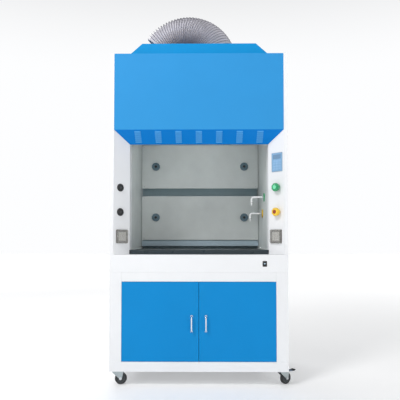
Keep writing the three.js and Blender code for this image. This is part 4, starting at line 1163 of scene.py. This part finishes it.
def fan_blade(tip):
    """A cambered blade that twists from its root to its tip."""
    blade = bmesh.new()
    rows = []
    for out in [j / 10 for j in range(11)]:
        r = 0.037 + (tip - 0.0375) * out
        pitch = math.radians(ROOT_PITCH + (TIP_PITCH - ROOT_PITCH) * out)
        row = []
        for share in [k / 4 - 1 for k in range(9)]:
            chord, camber = BLADE_CHORD * share / 2, BLADE_CAMBER * (1 - share ** 2)
            y = chord * math.cos(pitch) - camber * math.sin(pitch)
            z = chord * math.sin(pitch) + camber * math.cos(pitch)
            row.append(blade.verts.new((math.sqrt(max(r * r - y * y, 1e-6)), y, 0.035 + z)))
        rows.append(row)
    for first, second in zip(rows, rows[1:]):
        for k in range(8):
            blade.faces.new([first[k], first[k + 1], second[k + 1], second[k]])
    bmesh.ops.solidify(blade, geom=blade.faces, thickness=BLADE_THICKNESS)
    return blade


def fan():
    """The casing, its finned motor, and the turning impeller."""
    casing_tube()
    centre = middle("fan_casing")
    motor = turned(bmesh.new(), MOTOR, shift(centre.x, centre.y, MOTOR_LOW), 192, 24, 0.08)
    piece("fan_motor", motor, MOTOR_GREY, "root")
    lo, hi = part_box("impeller")
    axis = shift(centre.x, centre.y, lo.z)
    wheel = turned(bmesh.new(), IMPELLER_HUB, axis, 56)
    for turn in around(7):
        absorb(wheel, fan_blade((hi.x - lo.x) / 2), axis @ spin(turn))
    piece("impeller_wheel", wheel, BLADE_GREY, "impeller", ["impeller"], smooth=45)


SINK_DEPTH = 0.129


def sink():
    """The cup sink's drawn bowl, and a strainer with three bars."""
    lo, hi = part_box("cup_sink")
    x, y = (lo.x + hi.x) / 2, (lo.y + hi.y) / 2
    rim, tail = (hi.x - lo.x) / 2, lo.z - hi.z + SINK_DEPTH
    centre = shift(x, y, hi.z - SINK_DEPTH)
    foot = [(0.016, tail), (0.019, tail)]
    outside = mm((19, -4), (48, 2), (58, 14), (62, 40), (62, 126.3))
    lip = [(rim, 0.1263), (rim, 0.1278), (rim - 0.003, SINK_DEPTH)]
    inside = mm((62.5, 129), (59, 126), (58, 44), (54, 18), (45, 6), (24, 0), (20, -3), (16, -3))
    bowl = turned(bmesh.new(), foot + outside + lip + inside + foot[:1], centre, 72)
    piece("sink_bowl", bowl, SINK_BLACK, "root", ["cup_sink"], smooth=40)
    ring = mm((19.5, -3), (24.5, 0.8), (23.5, 2), (18, -0.5), (16.5, -3), (19.5, -3))
    strainer = turned(bmesh.new(), ring, centre)
    for i in range(3):
        turn = centre @ shift(0, 0, -0.002) @ spin(math.pi * i / 3)
        block(strainer, (-0.018, -0.0012, -0.0006), (0.018, 0.0012, 0.0010), 0.0004, 1, turn)
    piece("sink_strainer", strainer, CHROME, "root")


# ---- head: louvres, cowl, sash gear ---------------------------------------------------------------
FASCIA_BOTTOM = 1.611
LOUVRE_PITCH = 0.130
LOUVRE_ROWS = 6
LOUVRE_MARGIN = 1.2
LOUVRE_HALF, LOUVRE_FLAT = 0.0205, 0.0150
LOUVRE_STEPS = 18
# A louvre's section: place up the slope and height off it.
LOUVRE = mm((7.5, -0.2), (5, 0.9), (2.2, 2.2), (-0.8, 3.2), (-3, 3.6), (-3.6, 3.4))


def louvres():
    """Pressed hoods over the slots, flush at their upper edge and open at the lower one."""
    run = Vector((0, low("worktop").y - FRONT, low("fascia").z - FASCIA_BOTTOM))
    up = -run.normalized()
    out = up.cross(X) if up.cross(X).y < 0 else X.cross(up)
    part = bmesh.new()
    for column in range(-3, 4):
        for row in range(LOUVRE_ROWS):
            share = (row + LOUVRE_MARGIN) / (LOUVRE_ROWS - 1 + 2 * LOUVRE_MARGIN)
            centre = Vector((column * LOUVRE_PITCH, FRONT, FASCIA_BOTTOM)) + run * share
            grid = []
            for i in range(LOUVRE_STEPS + 1):
                u = LOUVRE_HALF * (2 * i / LOUVRE_STEPS - 1)
                beyond = max(0.0, (abs(u) - LOUVRE_FLAT) / (LOUVRE_HALF - LOUVRE_FLAT))
                swell = math.sqrt(max(0.0, 1 - beyond * beyond))
                spots = [(s * (0.55 + 0.45 * swell), n * swell if n > 0 else n) for s, n in LOUVRE]
                grid.append([part.verts.new(centre + X * u + up * s + out * n) for s, n in spots])
            join_rows(part, grid, closed=False)
    # The hoods take the lighter louvre blue, a painted highlight.
    thicken(piece("louvre_hoods", part, LOUVRE_BLUE_HIGHLIGHT, "root", smooth=70), 0.0006, 0)


def head_screws():
    """Fixings of the cowl, side panels and fascia."""
    part = bmesh.new()
    cowl_low, cowl_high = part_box("top_cowl")
    for i in range(6):
        x = cowl_low.x + 0.03 + (cowl_high.x - cowl_low.x - 0.06) * i / 5
        screw(part, (x, cowl_low.y, cowl_low.z + 0.011), -Y)
        screw(part, (x, cowl_high.y, cowl_low.z + 0.011), Y)
    upper = [(y, 0.90 + (ROOF_TOP - 0.96) * i / 5) for y in (BACK - 0.014, FRONT + 0.030) for i in range(6)]
    lower = [(y, z) for y in (BACK - 0.040, FRONT + 0.050) for z in (0.19, 0.42, 0.66)]
    for sign in (-1, 1):
        for y, z in upper + lower:
            screw(part, (sign * HALF_WIDTH, y, z), sign * X)
    for x in (-0.50, -0.17, 0.17, 0.50):
        screw(part, (x, FRONT + 0.022, high("fascia").z), Z)
    piece("panel_screws", part, CHROME, "root")


def rear_sheet():
    """The rear panel with its recessed screws."""
    lo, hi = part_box("rear_panel")
    columns = [lo.x + 0.012, lo.x / 3, hi.x / 3, hi.x - 0.012]
    rows = [lo.z + 0.012 + (hi.z - lo.z - 0.024) * i / 6 for i in range(7)]
    spots = [(x, z) for x in columns for z in rows if abs(x) > 0.4 or z in (rows[0], rows[-1])]
    outline = [(lo.x, lo.z), (hi.x, lo.z), (hi.x, hi.z), (lo.x, hi.z)]
    holes = [circle(0.0046, 16, spot) for spot in spots]
    sheet = plate(bmesh.new(), outline, hi.y - lo.y, shift(0, lo.y, 0), 0, 1, holes)
    piece("rear_sheet", sheet, WHITE, "root", ["rear_panel"])
    head = mm((0, -3), (4.4, -3), (4.4, -0.7), (3.68, -0.3), (1.38, -0.2), (1.196, -1.4), (0, -1.5))
    screws = bmesh.new()
    for x, z in spots:
        turned(screws, head, along_axis((x, hi.y, z), Y), 14)
    piece("rear_screws", screws, ZINC, "root")


PULLEY_RIM = mirrored(mm((0, -12), (33, -12), (34, -11.2), (34, -10), (30.7, -8.8), (29.7, -8.4)))


def belt_path(side, steps=28):
    """Half a turn over the pulley and half a turn under the idler."""
    lo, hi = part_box(f"sash_belt_{side}")
    radius = (hi.y - lo.y) / 2 - 0.001
    path = []
    for centre, begin in ((pivot("pulley_shaft_turn"), 0), (pivot(f"belt_idler_{side}_turn"), math.pi)):
        for i in range(steps + 1):
            angle = begin + math.pi * i / steps
            y, z = centre.y + radius * math.cos(angle), centre.z + radius * math.sin(angle)
            path.append(Vector(((lo.x + hi.x) / 2, y, z)))
    return path


def sash_pulleys():
    """The shaft with a pulley at each end, and the two idlers below."""
    top = pivot("pulley_shaft_turn")
    reach = high("pulley_shaft").x
    shaft = rod(bmesh.new(), 0.008, -reach, reach, along_axis(top, X), 32, 0.001)
    for side, sign in SIDES.items():
        x = middle(f"sash_belt_{side}").x
        place = along_axis((x, top.y, top.z), X)
        turned(shaft, PULLEY_RIM, place, 56)
        collar(shaft, 0.008, 0.015, -0.0165, 0.0165, place, 32)
        hex_bolt(shaft, (x - sign * 0.0142, top.y, top.z + 0.015), Z, 0.005, 0.003)
        low_centre = pivot(f"belt_idler_{side}_turn")
        place = along_axis((x, low_centre.y, low_centre.z), X)
        idler = turned(bmesh.new(), PULLEY_RIM, place, 56)
        rod(idler, 0.005, -0.022, 0.022, place, 24, 0.0008)
        piece(f"idler_{side}", idler, ZINC, f"belt_idler_{side}", [f"belt_idler_{side}"])
        bearing = bmesh.new()
        near, far = sorted((x - sign * 0.0205, x - sign * 0.0245))
        block(bearing, (near, top.y - 0.022, top.z - 0.022), (far, top.y + 0.022, ROOF_TOP - 0.0025), 0.001)
        piece(f"bearing_plate_{side}", bearing, ZINC, "root")
    piece("pulley_shaft_turned", shaft, ZINC, "pulley_shaft", ["pulley_shaft"])


def sash_belt(side):
    """The belt, its clamp on the lower sash, and its clamp and eye bolt on the counterweight."""
    sign = SIDES[side]
    x = middle(f"sash_belt_{side}").x
    front, back = low(f"sash_belt_{side}").y, high(f"sash_belt_{side}").y
    section = rounded_rectangle(0.0158, 0.0019, 0.0005, 2)
    belt = swept(bmesh.new(), belt_path(side), section, up=X, closed=True)
    piece(f"belt_{side}", belt, BELT, "root", [f"sash_belt_{side}"])
    z = high("sash_lower").z - 0.030
    clamp = bmesh.new()
    for near, far in ((-0.0032, -0.0001), (0.0021, 0.0050)):
        block(clamp, (x - 0.011, front + near, z - 0.014), (x + 0.011, front + far, z + 0.014), 0.001)
    near, far = sorted((sign * (high("sash_lower").x - 0.010), x - sign * 0.0105))
    block(clamp, (near, front - 0.0002, z - 0.010), (far, front + 0.0018, z + 0.010), 0.0006)
    for dz in (-0.008, 0.008):
        hex_bolt(clamp, (x, front - 0.0032, z + dz), -Y, 0.006, 0.003)
    piece(f"belt_clamp_{side}", clamp, ZINC, "lower_sash")
    lo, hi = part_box(f"counterweight_{side}")
    weight = bmesh.new()
    for near, far in ((back + 0.0001, lo.y + 0.0004), (back - 0.0050, back - 0.0021)):
        block(weight, (x - 0.010, near, hi.z - 0.030), (x + 0.010, far, hi.z - 0.004), 0.0008)
    hex_bolt(weight, (x, lo.y + 0.014, hi.z), Z, 0.014, 0.007)
    piece(f"weight_clamp_{side}", weight, ZINC, f"counterweight_{side}")


def sash_trim():
    """End caps and a rubber seal on the lower panel's rail, and the upper panel's lower edge strip."""
    lo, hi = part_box("sash_handle")
    caps = bmesh.new()
    for sign in (-1, 1):
        near, far = sorted((sign * (hi.x - 0.0030), sign * (hi.x + 0.0012)))
        block(caps, (near, hi.y - 0.0165, lo.z + 0.001), (far, hi.y - 0.0005, hi.z - 0.0006), 0.0008)
    piece("sash_end_caps", caps, BLACK, "lower_sash")
    ends = [Vector((x, hi.y - 0.009, lo.z + 0.0003)) for x in (lo.x + 0.004, hi.x - 0.004)]
    seal = swept(bmesh.new(), ends, rounded_rectangle(0.008, 0.0036, 0.0015, 3))
    piece("sash_seal", seal, BELT, "lower_sash")
    strip = bmesh.new()
    y, bottom, half = middle("sash_upper").y, low("sash_upper").z, 0.445
    for near, far in ((y - 0.0046, y - 0.0026), (y + 0.0026, y + 0.0046)):
        block(strip, (-half, near, bottom - 0.0006), (half, far, bottom + 0.014), 0.0006)
    piece("upper_sash_strip", strip, ALUMINIUM, "upper_sash")


# ---- assembly -------------------------------------------------------------------------------------
KEPT = {"base_pan": WHITE, "top_rail": WHITE, "apron": WHITE, "roof_panel": WHITE, "fascia": FASCIA_BLUE,
        "top_cowl": COWL_BLUE, "chamber_ceiling": LINER, "baffle_upper": LINER, "baffle_lower": LINER,
        "baffle_bottom": LINER_BELOW_SHADED}
KEPT_PAIRS = {"cabinet_side": WHITE, "side_panel": WHITE, "post": WHITE, "sash_jamb": WHITE,
              "door": DOOR_BLUE, "liner": LINER, "counterweight": IRON}
KEPT_WITH_BEVEL = {"worktop": (RESIN, 0.0012), "sash_lower": (GLASS, 0.0004), "sash_upper": (GLASS, 0.0004),
                   "sash_handle": (ALUMINIUM, 0.0008)}

for node, material in KEPT.items():
    keep_node(node, material)
for node, (material, bevel) in KEPT_WITH_BEVEL.items():
    keep_node(node, material, bevel)
for side in SIDES:
    for node, material in KEPT_PAIRS.items():
        keep_node(f"{node}_{side}", material)
    bow_handle(side)
    door_fittings(side)
    wall_socket(side)
    socket_lid(side)
    sash_belt(side)
for corner in ("front_left", "front_right", "rear_left", "rear_right"):
    caster(corner)
# The water knob's pale cap colour is a painted highlight.
for service, colour, cap_colour in (("water", GREEN, GREEN_CAP_HIGHLIGHT), ("gas", YELLOW, RED_CAP)):
    valve_knob(service, colour, cap_colour)
    service_pipe(service)
    wall_spout(service, colour)
    blanking_plug(service)
for make in (exhaust_duct, duct_trim, rocker_switch, magnetic_catches, sink_trap, mains_gland, display,
             baffle_knobs, chamber_trim, plenum_board, chamber_lamp, inlet_guard, fan, sink, louvres,
             head_screws, rear_sheet, sash_pulleys, sash_trim, make_studio, make_camera):
    make()
